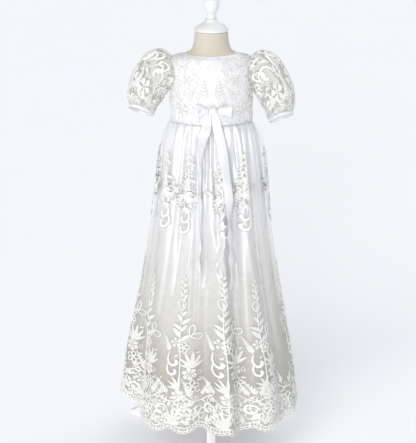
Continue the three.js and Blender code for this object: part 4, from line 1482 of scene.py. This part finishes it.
    def hem_at(self, angle: Array) -> Array:
        """Height of the scalloped hem."""
        return self.hem + self.scallop_depth * (1 - np.abs(np.cos(self.scallops * angle / 2)))

    def build(self) -> None:
        """Makes both layers, front and back, and their lace."""
        for half, panels in (
            (Half.FRONT, ["bodice_front_satin"]),
            (Half.BACK, ["bodice_back_left_satin", "bodice_back_right_satin"]),
        ):
            lining = self.layer(half, False)
            veil = self.layer(half, True)
            lace = [self.border_lace(half), self.spray_lace(half)]
            flat_size(self.under_cut)
            flat_size(self.over_cut)

    def layer(self, half: Half, outer: bool) -> bpy.types.Object:
        """One layer of one half.

        Args:
            half: front or back.
            outer: whether it is the tulle overskirt.

        Returns:
            The piece.
        """

        def shape(u: Array, v: Array) -> Array:
            """The half between its seams, from hem to waist."""
            angle = half.start + self.seam_gap + (math.pi - 2 * self.seam_gap) * u
            foot = self.hem_at(angle) if outer else np.full_like(u, self.lining_hem)
            z = foot + (self.waist - foot) * v
            return self.hung(angle, z, outer)

        if outer:
            mesh = bent_grid(f"overskirt_{half.word}_tulle", shape, self.over_grid, self.over_cut)
            piece = finished(mesh, self.finishes.tulle, [f"overskirt_{half.word}"])
            give_wall(piece, self.tulle_wall, -1)
            return piece
        grid = (self.under_columns, self.under_rows[half is Half.BACK])
        mesh = bent_grid(f"underskirt_{half.word}_satin", shape, grid, self.under_cut)
        piece = finished(mesh, self.finishes.lining, [f"underskirt_{half.word}"])
        give_wall(piece, self.satin_wall, -1)
        return piece

    def onto(self, angle: float, root: float) -> Layer:
        """Way of laying a drawing on the overskirt.

        Args:
            angle: where its upright axis goes, in radians.
            root: height of its root.

        Returns:
            A function of places across and along.
        """

        def place(across: Array, along: Array) -> tuple[Array, Array]:
            """Points and outward directions of the overskirt."""
            z = np.minimum(root + along, self.waist - self.seam_margin)
            round_here = sum(size(z) for size in self.over_size) / 2
            turn = angle + across / round_here
            return self.over(turn, z), normals_of(self.over, turn, z, self.feeler)

        return place

    def on_hem(self, degree: float) -> Layer:
        """Way of laying strokes upwards from the hem's edge, along which a degree has a given length."""

        def place(across: Array, along: Array) -> tuple[Array, Array]:
            """Points and outward directions of the overskirt."""
            angle = np.radians(across / degree)
            z = self.hem_at(angle) + along
            return self.over(angle, z), normals_of(self.over, angle, z, self.feeler)

        return place

    def angles_in(self, half: Half) -> list[float]:
        """Angles of the sprays that belong to a half, in radians."""
        angles = [math.radians(angle) for angle in self.spray_angles]
        return [angle for angle in angles if half.start < angle < half.start + math.pi]

    def spray_lace(self, half: Half) -> bpy.types.Object:
        """Makes the hanging sprays of one half and returns them."""
        work = LaceWork(f"hanging_lace_{half.word}")
        angles = self.angles_in(half)
        for index, angle in enumerate(angles):
            size = self.hanging_size + self.size_step * (index % 3)
            drawing = Drawing().add(hanging_spray(), turn=self.hanging_turn * (-1) ** index, size=size)
            work.lay(drawing, self.onto(angle, self.hanging_root))
        nodes = [f"lace_spray_{half.word}_{index + 1}" for index in range(len(angles))]
        return work.finish(self.finishes.lace, nodes)

    def border_lace(self, half: Half) -> bpy.types.Object:
        """Makes the border and rising sprays of one half and returns them."""
        work = LaceWork(f"border_lace_{half.word}")
        angles = self.angles_in(half)
        step = math.tau / self.scallops
        for index in range(self.scallops // 2):
            angle = half.start + (index + 0.5) * step
            sprigs = min(abs(angle - spray) for spray in angles) > self.spray_clearance
            unit = Drawing().add(border_unit(index % 2 == 1, sprigs), mirrored=index % 4 > 1)
            work.lay(unit, self.onto(angle, self.hem + self.border_rise))
        for index, angle in enumerate(angles):
            size = self.rising_size + self.size_step * (index % 3)
            work.lay(Drawing().add(rising_spray(), size=size), self.onto(angle, self.rising_root))
        self.scalloped_edge(work, half.value)
        return work.finish(self.finishes.lace, [f"lace_border_{half.word}"])

    def scalloped_edge(self, work: LaceWork, start: float) -> None:
        """Lays the double cord along the hem, its bars, and the small scallops below.

        Args:
            work: the lace to add to.
            start: angle of the first side seam, in degrees.
        """
        edge = Drawing()
        degree = math.radians(1) * self.over_size[0](np.array([self.hem]))[0]

        def run(line: Array, width: float) -> None:
            """Draws a cord whose places across are in degrees."""
            flat = line.real * degree + 1j * line.imag
            edge.strokes.append(Stroke(flat, np.full(len(line), width / 2), Section.CORD))

        end_gap, steps = 0.3, 241
        low_cord, high_cord = 3.4, 12.4
        bar, bar_lean = ring(9.2, 7.4, 2.3), 9
        loop_top, loop_drop = 3.2, 5
        along = np.linspace(start + end_gap, start + 180 - end_gap, steps)
        run(along + 1j * low_cord, 3.4)
        run(along + 1j * (high_cord + waves(along, (Wave(1.3, 0.9, 0), Wave(0.8, 2.3, 0)))), 3)
        pitch = 180 / self.edge_loops
        arc = np.linspace(0, math.pi, 9)
        for index, middle in enumerate(start + pitch * (np.arange(self.edge_loops) + 0.5)):
            run(middle - 0.5 * pitch * np.cos(arc) + 1j * (loop_top - loop_drop * np.sin(arc)), 2.6)
            edge.add(bar, middle * degree + 3j, bar_lean * (-1) ** index)
        work.lay(edge, self.on_hem(degree))


class Panel(NamedTuple):
    """A panel of the bodice: its edges in degrees, which of them an armhole cuts, and its cloth."""

    name: str
    left: float
    right: float
    left_armhole: bool
    right_armhole: bool
    columns: int
    weave: Pair
    cut: Pair


@dataclass
class Bodice:
    """Fitted satin front and two backs with lace all over."""

    finishes: Finishes
    form: DressForm
    waist: float = 800.15
    neck_front: float = 952
    neck_back: float = 957
    ease: float = 1.4
    wall: float = 1.7
    armhole: tuple[float, float, float] = (907, 34.5, 28)
    levels: Table = (
        (0, 800.15), (0.42, 872), (0.46, 873.5), (0.6, 890), (0.68, 907), (0.78, 930), (0.85, 941),
        (0.88, 942), (0.93, 947), (1, 957),
    )
    panels: tuple[Panel, ...] = (
        Panel("front", -90, 90, True, True, 110, (290, 160), (290, 190)),
        Panel("back_left", -180, -90, False, True, 60, (145, 160), (150, 190)),
        Panel("back_right", 90, 180, True, False, 60, (145, 160), (150, 190)),
    )
    rows: int = 72
    area_share: float = 0.78
    seam_gap: float = 0.0018
    neck_from: float = 948
    ripple: tuple[float, float, float] = (0.35, 14, 17)
    ripple_fade: Pair = (930, 880)
    ease_lost: float = 0.85
    ease_fade: Pair = (943, 950)
    lace_top: float = 951
    lace_lift: float = 0.2
    lace_pile: float = 1.7
    side_angle: float = 52
    back_angle: float = 132

    def surface(self, angle: Array, z: Array) -> Array:
        """Points of the bodice's outer face, in millimetres."""
        height, count, rise = self.ripple
        ripple = height * np.sin(angle * count + z / rise) * smooth_step(z, *self.ripple_fade)
        ease = self.ease * (1 - self.ease_lost * smooth_step(z, *self.ease_fade))
        return self.form.raised(angle, z, ease + self.wall + ripple)

    def armhole_reach(self, z: Array) -> Array:
        """Half the armhole's opening at a height, in radians."""
        middle, half_height, half_angle = self.armhole
        rise = np.clip((z - middle) / half_height, -1, 1)
        return math.radians(half_angle) * np.sqrt(1 - rise * rise)

    def neckline(self, angle: Array) -> Array:
        """Height of the neckline, which dips a little at the front."""
        return self.neck_front + (self.neck_back - self.neck_front) * (0.5 - 0.5 * np.cos(angle))

    def build(self) -> None:
        """Makes the three panels and their lace."""
        lace = self.lace()
        for panel in self.panels:
            grid = (panel.columns, self.rows)
            mesh = bent_grid(f"bodice_{panel.name}_satin", self.between(panel), grid, panel.weave)
            piece = finished(mesh, self.finishes.satin, [f"bodice_{panel.name}"])
            give_wall(piece, self.wall, -1)
            width, length = flat_size(panel.cut)
            width * length * self.area_share

    def between(self, panel: Panel) -> Surface:
        """Surface of a panel between its two edges, for u and v from 0 to 1."""
        shares, heights = zip(*self.levels)
        first = math.radians(panel.left) + self.seam_gap
        last = math.radians(panel.right) - self.seam_gap

        def shape(u: Array, v: Array) -> Array:
            """Points of the panel, which the armholes and the neckline cut into."""
            z = np.interp(v, shares, heights)
            reach = self.armhole_reach(z)
            left = first + reach * panel.left_armhole
            right = last - reach * panel.right_armhole
            angle = left + (right - left) * u
            rise = (self.neckline(angle) - self.neck_from) / (self.neck_back - self.neck_from)
            z = np.where(z > self.neck_from, self.neck_from + (z - self.neck_from) * rise, z)
            return self.surface(angle, z)

        return shape

    def onto(self, angle: float, root: float) -> Layer:
        """Way of laying a drawing on the bodice.

        Args:
            angle: where its upright axis goes, in radians.
            root: height of its root.

        Returns:
            A function of places across and along.
        """
        heights = np.linspace(self.waist + 1, self.lace_top, 80)
        radii = (self.form.half_width(heights) + self.form.half_depth(heights)) / 2
        climb = np.cumsum(np.hypot(np.gradient(heights), np.gradient(radii)))
        start = np.interp(root, heights, climb)
        behind = abs(angle) > math.pi / 2

        def place(across: Array, along: Array) -> tuple[Array, Array]:
            """Points and outward directions of the bodice, kept clear of the armholes."""
            z = np.interp(start + along, climb, heights)
            turn = angle + across / np.interp(z, heights, radii)
            edge = math.pi / 2 + self.armhole_reach(z) * (1 if behind else -1)
            size = np.maximum(np.abs(turn), edge) if behind else np.minimum(np.abs(turn), edge)
            turn = np.sign(turn) * size
            return self.surface(turn, z), normals_of(self.form.surface, turn, z, self.form.feeler)

        return place

    def lace(self) -> dict[str, bpy.types.Object]:
        """Lace of the front and of the two backs, each with the sprays that it stands for."""
        made = {}
        for name, middles, nodes in (
            (
                "front", (-self.side_angle, self.side_angle),
                ["lace_bodice_front_left", "lace_bodice_front_right"],
            ),
            ("back_left", (-self.back_angle,), ["lace_bodice_back_left"]),
            ("back_right", (self.back_angle,), ["lace_bodice_back_right"]),
        ):
            work = LaceWork(f"bodice_lace_{name}", lift=self.lace_lift, pile=self.lace_pile)
            if name == "front":
                self.centre_lace(work)
            for middle in middles:
                self.side_lace(work, middle)
            made[name] = work.finish(self.finishes.lace, nodes)
        return made

    def centre_lace(self, work: LaceWork) -> None:
        """Lays the sparse middle of the front: two upright sprigs, arcs, rings and scrolls."""
        middle = Drawing()
        middle.add(fern(56, 5, 27, 6), 13 + 48j, -6)
        middle.fan(leaf(24, 10, 8), 10 + 26j, (16, -34), (1, 1))
        middle.add(cord([5 + 22j, 16 + 30j, 28 + 26j, 36 + 34j], 2.4))
        middle.add(ring(22, 13, 2.4), 28 + 92j, -20)
        middle.add(scroll(26, 290, 4.6), 16 + 118j, -50)
        middle.add(leaf(18, 7, 8), 8 + 118j, 10)
        for mirrored in (True, False):
            work.lay(Drawing().add(middle, mirrored=mirrored), self.onto(0, self.waist + 3))

    def side_lace(self, work: LaceWork, degrees: float) -> None:
        """Lays the dense lace of a side, mirrored on the left.

        Args:
            work: the lace to add to.
            degrees: angle of the side's middle.
        """
        side = Drawing()
        side.add(flower(17, 6), -10 + 30j)
        side.add(open_flower(14, 5), 24 + 18j)
        side.fan(leaf(24, 8, 6), 6 + 44j, (52, 20, -14, -46), (0.9, 1, 1, 0.9))
        side.add(fern(42, 6, 19, 10), -22 + 46j, 18)
        side.add(scroll(23, 300, 5), 22 + 36j, -20)
        side.add(scroll(21, 300, 5), -30 + 12j, 30, mirrored=True)
        side.add(fern(36, 5, 18, -8), 30 + 54j, -14)
        side.add(open_flower(15, 5), 4 + 86j)
        side.add(flower(12, 5), -22 + 98j)
        side.add(scroll(26, 300, 5.4), -16 + 108j, 10)
        side.fan(leaf(20, 8, 6), 8 + 104j, (40, 4, -34), (1, 1, 0.9))
        side.add(scroll(18, 290, 4.4), -36 + 74j, 20)
        side.fan(leaf(26, 10, 6), -8 + 128j, (50, 10, -30), (0.9, 1, 0.9))
        side.add(scroll(24, 290, 5), 16 + 126j, -20)
        side.fill(-46 + 0j, 44 + 152j, 4.8, 10.5)
        placed = Drawing().add(side, mirrored=degrees < 0)
        work.lay(placed, self.onto(math.radians(degrees), self.waist + 2))


class Side(Enum):
    """The two sides of the gown, as the viewer sees them."""

    LEFT = -1
    RIGHT = 1

    @property
    def word(self) -> str:
        """The side's name in lower case."""
        return self.name.lower()


@dataclass
class PuffSleeve:
    """Sheer puff sleeve with lace, and its satin cuff."""

    finishes: Finishes
    bodice: Bodice
    side: Side
    cuff_drop: float
    rings: Table = (
        (94, 873, 90, 942, 33), (99, 866, 112, 962, 42), (107, 856, 146, 955, 50),
        (116, 843, 170, 925, 53), (125, 829, 187, 890, 50), (130, 818, 192, 858, 42),
        (132, 815, 187, 834, 30),
    )
    gathers: int = 9
    gather_share: float = 0.035
    front_lift: float = 12
    seat_reach: float = 1.05
    seat_lift: float = 3.5
    head_puckers: tuple[int, float, float] = (31, 0.8, 0.022)
    cuff_puckers: tuple[int, float, float] = (34, 0.7, 0.028)
    slack: float = 0.012
    wall: float = 0.5
    grid: tuple[int, int] = (128, 52)
    weave: Pair = (330, 150)
    cut: Pair = (360, 170)
    area: float = 0.046
    cuff_height: float = 7.5
    cuff_wall: float = 1.6
    cuff_grid: tuple[int, int] = (96, 8)
    cuff_weave: Pair = (150, 8)
    cuff_cut: Pair = (155, 18)
    cuff_area: float = 0.0014
    ring_step: float = 22
    lace_radius: float = 46
    lace_turn: float = 24
    lace_lift: float = 0.35
    lace_pile: float = 1.0
    feeler: Pair = (0.02, 0.05)

    def __post_init__(self) -> None:
        """Reads the rings as curves."""
        index = np.arange(len(self.rings))
        self.low_x, self.low_z, self.high_x, self.high_z, self.depth = (
            Curve(index, column) for column in zip(*self.rings)
        )
        self.last = len(self.rings) - 1

    def spoke(self, turn: Array, ring: Array) -> Array:
        """From a ring's middle to its rim, at a turn from the top towards the front."""
        up = np.cos(turn) / 2
        across = (self.high_x(ring) - self.low_x(ring)) * up
        rise = (self.high_z(ring) - self.low_z(ring)) * up
        return np.stack([across, -self.depth(ring) * np.sin(turn), rise], axis=-1)

    def centre(self, turn: Array, ring: Array) -> Array:
        """Middle of a ring with the sleeve's drop and the lift of the cuff's front."""
        share = ring / self.last
        sag = self.front_lift * share**3 * np.sin(turn) - self.cuff_drop * share
        x = (self.low_x(ring) + self.high_x(ring)) / 2 + 0 * turn
        z = (self.low_z(ring) + self.high_z(ring)) / 2 + sag
        return np.stack([x, np.zeros_like(x), z], axis=-1)

    def seat(self, turn: Array) -> Array:
        """Edge of the sleeve, which stands on the bodice round the armhole."""
        middle, half_height, half_angle = self.bodice.armhole
        angle = math.pi / 2 - math.radians(half_angle) * self.seat_reach * np.sin(turn)
        z = middle + half_height * self.seat_reach * np.cos(turn)
        return self.bodice.form.raised(angle, z, self.seat_lift)

    def surface(self, turn: Array, ring: Array) -> Array:
        """Points of the sleeve's outer face, the left one a mirror image, in millimetres."""
        fullness = np.cos(math.tau * ring / self.last)
        pucker = self.gather_share * fullness * np.cos(self.gathers * turn)
        count, fade, stand = self.head_puckers
        head = stand * np.exp(-ring / fade) * np.cos(count * turn + np.sin(3 * turn))
        count, fade, stand = self.cuff_puckers
        cuff = stand * np.exp((ring - self.last) / fade) * np.cos(count * turn + 1.5 * np.sin(2 * turn))
        slack = self.slack * np.sin(5 * turn + 2.2 * ring) * np.sin(math.pi * ring / self.last)
        puff = 1 + pucker + head + cuff + slack
        points = self.centre(turn, ring) + self.spoke(turn, ring) * puff[..., None]
        share = smooth_step(ring, 0, 1)[..., None]
        return self.on_side(self.seat(turn) * (1 - share) + points * share)

    def on_side(self, points: Array) -> Array:
        """Points of the right sleeve, mirrored where this is the left one."""
        return points * np.array([self.side.value, 1, 1])

    def build(self) -> None:
        """Makes the sleeve, its lace and its cuff."""
        word = self.side.word
        left = self.side is Side.LEFT

        def shape(u: Array, v: Array) -> Array:
            """The whole sleeve from the armhole to just above the cuff."""
            return self.surface(-u * math.tau, v * (self.last - 0.02))

        name = f"sleeve_{word}_tulle"
        mesh = bent_grid(name, shape, self.grid, self.weave, closed=True, flipped=left)
        piece = finished(mesh, self.finishes.sleeve_tulle, [f"sleeve_{word}"])
        give_wall(piece, self.wall, 0)
        lace = self.lace()
        flat_size(self.cut)
        self.cuff()

    def cuff(self) -> None:
        """Satin band below the sleeve's gathers."""
        across = self.high_x(self.last) - self.low_x(self.last)
        rise = self.high_z(self.last) - self.low_z(self.last)
        down = np.array([rise, 0, -across]) / math.hypot(rise, across)
        ring = np.array(float(self.last))

        def shape(u: Array, v: Array) -> Array:
            """The band, a little rounded across its width."""
            turn = -u * math.tau
            spoke = self.spoke(turn, ring)
            out = spoke / np.linalg.norm(spoke, axis=-1, keepdims=True)
            swell = 0.8 * np.sin(math.pi * v) + 0.25 * np.sin(9 * turn) * np.sin(math.pi * v)
            points = self.centre(turn, ring) + spoke + out * swell[:, None]
            points += down * (0.3 + self.cuff_height * (1 - v))[:, None]
            return self.on_side(points)

        word = self.side.word
        right = self.side is Side.RIGHT
        name = f"cuff_{word}_satin"
        mesh = bent_grid(name, shape, self.cuff_grid, self.cuff_weave, closed=True, flipped=right)
        piece = finished(mesh, self.finishes.satin, [f"cuff_{word}"])
        give_wall(piece, self.cuff_wall, 0)
        flat_size(self.cuff_cut)

    def onto(self, turn: float, ring: float) -> Layer:
        """Way of laying a drawing on the sleeve.

        Args:
            turn: where its upright axis goes, in radians from the top towards the front.
            ring: the ring that its root stands on.

        Returns:
            A function of places across and along.
        """

        def place(across: Array, along: Array) -> tuple[Array, Array]:
            """Points and outward directions of the sleeve."""
            height = np.clip(ring - along / self.ring_step, 0.25, self.last - 0.1)
            round_here = turn - across / self.lace_radius * self.side.value
            out = normals_of(self.surface, round_here, height, self.feeler) * self.side.value
            return self.surface(round_here, height), out

        return place

    def lace(self) -> bpy.types.Object:
        """Scrolls, flowers, leaves and ferns all round the sleeve."""
        word = self.side.word
        work = LaceWork(f"sleeve_lace_{word}", lift=self.lace_lift, pile=self.lace_pile)
        motif = Drawing()
        motif.add(flower(16, 5), 2 + 50j)
        motif.add(scroll(31, 310, 7), -16 + 74j, 16)
        motif.add(scroll(22, 300, 6), 16 + 84j, -10, mirrored=True)
        motif.fan(leaf(22, 8, 6), 1 + 28j, (52, -48), (1, 0.9))
        motif.add(fern(40, 6, 18, 8), -17 + 24j, 6)
        motif.add(fern(34, 5, 17, -8), 18 + 34j, -8)
        motif.add(open_flower(11, 5), 6 + 16j)
        motif.add(scroll(16, 290, 4.6), 15 + 18j, -30)
        motif.add(ring(18, 11, 2.6), -20 + 62j, 24)
        motif.add(scroll(24, 290, 6), 0 + 98j, -16)
        motif.fan(leaf(20, 8, 8), -14 + 106j, (40, -6), (1, 1))
        motif.fill(-24 + 2j, 24 + 44j, 5.6, 11)
        motif.fill(-23 + 44j, 23 + 120j, 7.5, 14)
        for index, degrees in enumerate(range(0, 360, 60)):
            second = index % 2
            root = self.last - 0.2 - 0.25 * second
            placed = Drawing().add(motif, mirrored=second == 1)
            work.lay(placed, self.onto(math.radians(degrees + self.lace_turn), root))
        return work.finish(self.finishes.lace, [f"lace_sleeve_{word}_front", f"lace_sleeve_{word}_back"])


@dataclass
class Bow:
    """Satin bow at the waist: a knot, two loops and two hanging tails."""

    finishes: Finishes
    bodice: Bodice
    skirt: Skirt
    place: tuple[float, float, float] = (4, -79.8, 835)
    knot_size: tuple[float, float, float] = (11, 7, 7.5)
    left_loop: Table = (
        (10.5, 0, 0, 5, 3.5), (24, 0.5, 2.2, 10, 5.5), (40, 1, 0.5, 14.5, 5.5),
    )
    right_loop: Table = (
        (10.5, 0, 0, 5, 3.5), (24, 0, 0.5, 9.5, 5), (42, -1, 0, 13.5, 6),
    )
    left_mouth: Pair = (20, 9)
    right_mouth: Pair = (0, 0)
    left_tail: Table = (
        (475, -31, 20, 56), (490, -30, 20, 60), (510, -29, 20, 80), (531, -28, 20, 62),
        (560, -27, 20, 82), (600, -26, 20, 80), (633, -26, 20, 66), (660, -26, 20, 82),
        (695, -27, 20, 64), (720, -26.5, 21, 80), (745, -25, 22, 64), (768, -21, 23, 34),
        (795, -12, 24, 4), (832, -7.5, 13, 0),
    )
    right_tail: Table = (
        (440, 49, 20, -58), (470, 48, 20, -78), (506, 46, 20, -56), (530, 45, 20, -78),
        (556, 43, 20, -60), (585, 42, 20, -78), (612, 41, 20, -60), (640, 40, 20, -24),
        (655, 39, 20, -16), (694, 34, 21, -30), (735, 28, 21, -10), (768, 22, 22, 0), (795, 14, 22, 0),
        (832, 7, 14, 0),
    )
    rest_on_bodice: float = 1.25
    rest_on_skirt: float = 3.2
    rest_change: Pair = (806, 792)
    sag_steps: tuple[float, ...] = (-24, -12, 0, 12, 24)
    end_margin: float = 4
    end_slant: float = 9
    bowing: float = 1.2
    bowing_change: Pair = (800, 760)
    ribbon: float = 0.8
    knot_grid: tuple[int, int] = (40, 28)
    knot_weave: Pair = (40, 25)
    knot_fill: float = 0.6
    loop_grid: tuple[int, int] = (56, 26)
    loop_weave: Pair = (70, 30)
    loop_cut: Pair = (46, 31)
    tail_grid: tuple[int, int] = (12, 150)
    tail_weave: float = 20
    tail_cut: float = 21

    def build(self) -> None:
        """Makes the bow's five pieces."""
        self.knot()
        self.loop(Side.LEFT, self.left_loop, self.left_mouth)
        self.loop(Side.RIGHT, self.right_loop, self.right_mouth)
        self.tail(Side.LEFT, self.left_tail)
        self.tail(Side.RIGHT, self.right_tail)

    def knot(self) -> None:
        """Wrapped knot with creases round it."""
        half = np.array(self.knot_size)

        def shape(u: Array, v: Array) -> Array:
            """An oval bead, pinched along its wraps."""
            turn, tilt = u * math.tau, (v - 0.5) * math.pi
            pinch = 1 - 0.07 * np.cos(5 * tilt + 1.2 * np.sin(turn)) * np.cos(tilt)
            x = np.sin(tilt) * 0.98
            y = -np.cos(tilt) * np.cos(turn) * pinch
            z = np.cos(tilt) * np.sin(turn) * pinch
            return np.stack([x, y, z], axis=-1) * half + np.array(self.place)

        name = "bow_knot_satin"
        mesh = bent_grid(name, shape, self.knot_grid, self.knot_weave, closed=True, flipped=True)
        piece = finished(mesh, self.finishes.satin, ["bow_knot"])

    def loop(self, side: Side, table: Table, mouth: Pair) -> None:
        """Funnel-shaped loop, open at its outer end.

        Args:
            side: the side that it points to.
            table: rows of reach, rise, forward, half height and half depth.
            mouth: how far its mouth is cut back at the front, and how far its back curls forward.
        """
        last = len(table) - 1
        reach, rise, forward, tall, deep = (Curve(range(last + 1), column) for column in zip(*table))
        x0, y0, z0 = self.place
        cut, curl = mouth

        def shape(u: Array, v: Array) -> Array:
            """The loop from the knot outwards, with folds that fan out from the knot."""
            turn, row = u * math.tau, v * last
            fold = 1 + 0.12 * np.cos(6 * turn + 0.6) * (1 - v) ** 1.4
            front, back = np.maximum(0, np.sin(turn)), np.maximum(0, -np.sin(turn))
            x = reach(row) - cut * front * v**2
            y = -forward(row) - deep(row) * np.sin(turn) * fold - curl * back * smooth_step(v, 0.5, 1)
            z = rise(row) + tall(row) * np.cos(turn) * fold
            return np.stack([x0 + side.value * x, y0 + y, z0 + z], axis=-1)

        word = side.word
        left = side is Side.LEFT
        name = f"bow_loop_{word}_satin"
        mesh = bent_grid(name, shape, self.loop_grid, self.loop_weave, closed=True, flipped=left)
        piece = finished(mesh, self.finishes.satin, [f"bow_loop_{word}"])
        give_wall(piece, self.ribbon, -1)
        flat_size(self.loop_cut)

    def gown_front(self, x: Array, z: Array) -> Array:
        """How far forward the gown's front stands at places across it, in millimetres."""
        form, face = self.bodice.form, self.bodice.ease + self.bodice.wall
        fitted = np.arcsin(np.clip(x / (form.half_width(z) + face), -1, 1))
        on_bodice = -(form.half_depth(z) + face) * np.cos(fitted)
        below = np.minimum(z, self.skirt.waist)
        angle = np.arcsin(x / self.skirt.over_size[0](below))
        for _ in range(6):
            point = self.skirt.over(angle, below)
            angle = angle + (x - point[..., 0]) / self.skirt.over_size[0](below)
        return np.where(z > self.skirt.waist, on_bodice, self.skirt.over(angle, below)[..., 1])

    def most_forward(self, middle: Array, reach: Array, z: Array) -> Array:
        """How far forward the gown stands anywhere behind a ribbon's width.

        Args:
            middle: the ribbon's places across.
            reach: half the width that it covers.
            z: heights.

        Returns:
            Places from front to back, in millimetres.
        """
        behind = [self.gown_front(middle + share * reach, z) for share in (-1, -0.5, 0, 0.5, 1)]
        return np.min(behind, axis=0)

    def tail(self, side: Side, table: Table) -> None:
        """Hanging tail, clear of the folds behind it.

        Args:
            side: the side that it hangs on.
            table: rows of height, place across, width and twist, from its end up.
        """
        heights, places, widths, twists = zip(*table)
        centre, width, twist = (Curve(heights, column) for column in (places, widths, twists))
        low, high = heights[0], heights[-1]

        def shape(u: Array, v: Array) -> Array:
            """The ribbon, its end cut on a slant and its face a little bowed."""
            across = 2 * u - 1
            foot = low + self.end_margin + self.end_slant * side.value * across * (1 - v) ** 6
            z = foot + (high - foot) * v
            turn = np.radians(twist(z))
            half = width(z) / 2
            reach = half * np.cos(turn)
            fronts = [self.most_forward(centre(z), reach, z + step) for step in self.sag_steps]
            on_skirt = smooth_step(z, *self.rest_change)
            rest = self.rest_on_bodice + (self.rest_on_skirt - self.rest_on_bodice) * on_skirt
            middle = np.mean(fronts, axis=0) - rest - half * np.abs(np.sin(turn))
            bow = self.bowing * (1 - across**2) * smooth_step(z, *self.bowing_change)
            y = middle - across * half * np.sin(turn) - bow - self.ribbon
            return np.stack([centre(z) + across * reach, y, z], axis=-1)

        word = side.word
        length = high - low
        mesh = bent_grid(f"bow_tail_{word}_satin", shape, self.tail_grid, (self.tail_weave, length))
        piece = finished(mesh, self.finishes.satin, [f"bow_tail_{word}"])
        give_wall(piece, self.ribbon, -1)
        flat = flat_size((self.tail_cut, length))


# The studio


class Lamp(NamedTuple):
    """A soft light from far off: the direction it comes from, its strength and its spread in degrees."""

    name: str
    place: tuple[float, float, float]
    strength: float
    spread: float
    colour: Colour


@dataclass
class Studio:
    """Pale floor, soft light and the camera at the photograph's angle."""

    lamps: tuple[Lamp, ...] = (
        Lamp("key_light", (-0.55, -0.95, 0.85), 1.05, 34, (1.0, 0.985, 0.96)),
        Lamp("window_light", (-0.16, -1.0, 0.2), 0.85, 18, (1.0, 0.995, 0.985)),
        Lamp("low_window_light", (-0.12, -1.0, 0.03), 0.5, 16, (0.98, 0.99, 1.0)),
        Lamp("back_light", (0.7, 0.9, 1.1), 0.8, 60, (0.96, 0.98, 1.0)),
    )
    camera_place: tuple[float, float, float] = (-7.5, -2855, 1425)
    camera_pitch: float = 17
    lens_mm: float = 102.4
    sensor_mm: float = 36
    view_end_m: float = 200
    floor_half_m: float = 130
    veil_bounces: int = 40
    sky: Colour = (0.90, 0.94, 1.0)
    sky_strength: float = 0.4
    horizon: Pair = (0.04, 0.12)
    horizon_strength: float = 1.0

    def build(self) -> None:
        """Sets up the whole studio."""
        self.floor()
        self.sky_light()
        for lamp in self.lamps:
            self.sun(lamp)
        self.camera()
        bpy.context.scene.view_settings.view_transform = "Standard"
        bpy.context.scene.cycles.transparent_max_bounces = self.veil_bounces

    def floor(self) -> None:
        """Plain pale floor below the feet."""
        ground = bmesh.new()
        bmesh.ops.create_grid(ground, x_segments=1, y_segments=1, size=self.floor_half_m)
        mesh = bpy.data.meshes.new("floor")
        ground.to_mesh(mesh)
        ground.free()
        mesh.materials.append(FloorFinish().make("pale_floor"))
        floor = bpy.data.objects.new("floor", mesh)
        bpy.context.scene.collection.objects.link(floor)

    def sky_light(self) -> None:
        """Even light from all round, paler along the horizon."""
        world = bpy.data.worlds.new("soft_sky")
        world.use_nodes = True
        nodes = Nodes(world.node_tree)
        _, _, rise = nodes.axes(nodes.node("ShaderNodeTexCoord", {}, {}).outputs["Generated"])
        low = 1.0 - nodes.ramp(rise, *self.horizon)
        strength = low * (self.horizon_strength - self.sky_strength) + self.sky_strength
        light = nodes.node("ShaderNodeBackground", {}, {"Color": (*self.sky, 1), "Strength": strength})
        nodes.node("ShaderNodeOutputWorld", {}, {"Surface": light.outputs[0]})
        bpy.context.scene.world = world

    def sun(self, lamp: Lamp) -> None:
        """Sets up one soft light from far off."""
        light = bpy.data.lights.new(lamp.name, "SUN")
        light.energy = lamp.strength
        light.angle = math.radians(lamp.spread)
        light.color = lamp.colour
        sun = bpy.data.objects.new(lamp.name, light)
        sun.location = lamp.place
        sun.rotation_euler = (-Vector(lamp.place)).to_track_quat("-Z", "Y").to_euler()
        bpy.context.scene.collection.objects.link(sun)

    def camera(self) -> None:
        """Camera in front, looking a little down."""
        lens = bpy.data.cameras.new("camera")
        lens.lens = self.lens_mm
        lens.sensor_width = self.sensor_mm
        lens.clip_end = self.view_end_m
        camera = bpy.data.objects.new("camera", lens)
        camera.location = in_frame(np.array(self.camera_place))
        camera.rotation_euler = (math.radians(90 - self.camera_pitch), 0, 0)
        bpy.context.scene.collection.objects.link(camera)
        bpy.context.scene.camera = camera


def main() -> None:
    """Builds the studio, the form and the gown."""
    logging.basicConfig(level=logging.INFO, format="%(message)s")
    Studio().build()
    finishes = Finishes.make()
    form = DressForm(finishes)
    form.build()
    bodice = Bodice(finishes, form)
    bodice.build()
    PuffSleeve(finishes, bodice, Side.LEFT, cuff_drop=0).build()
    PuffSleeve(finishes, bodice, Side.RIGHT, cuff_drop=15).build()
    skirt = Skirt(finishes, form)
    skirt.build()
    Bow(finishes, bodice, skirt).build()


if __name__ == "__main__":
    main()
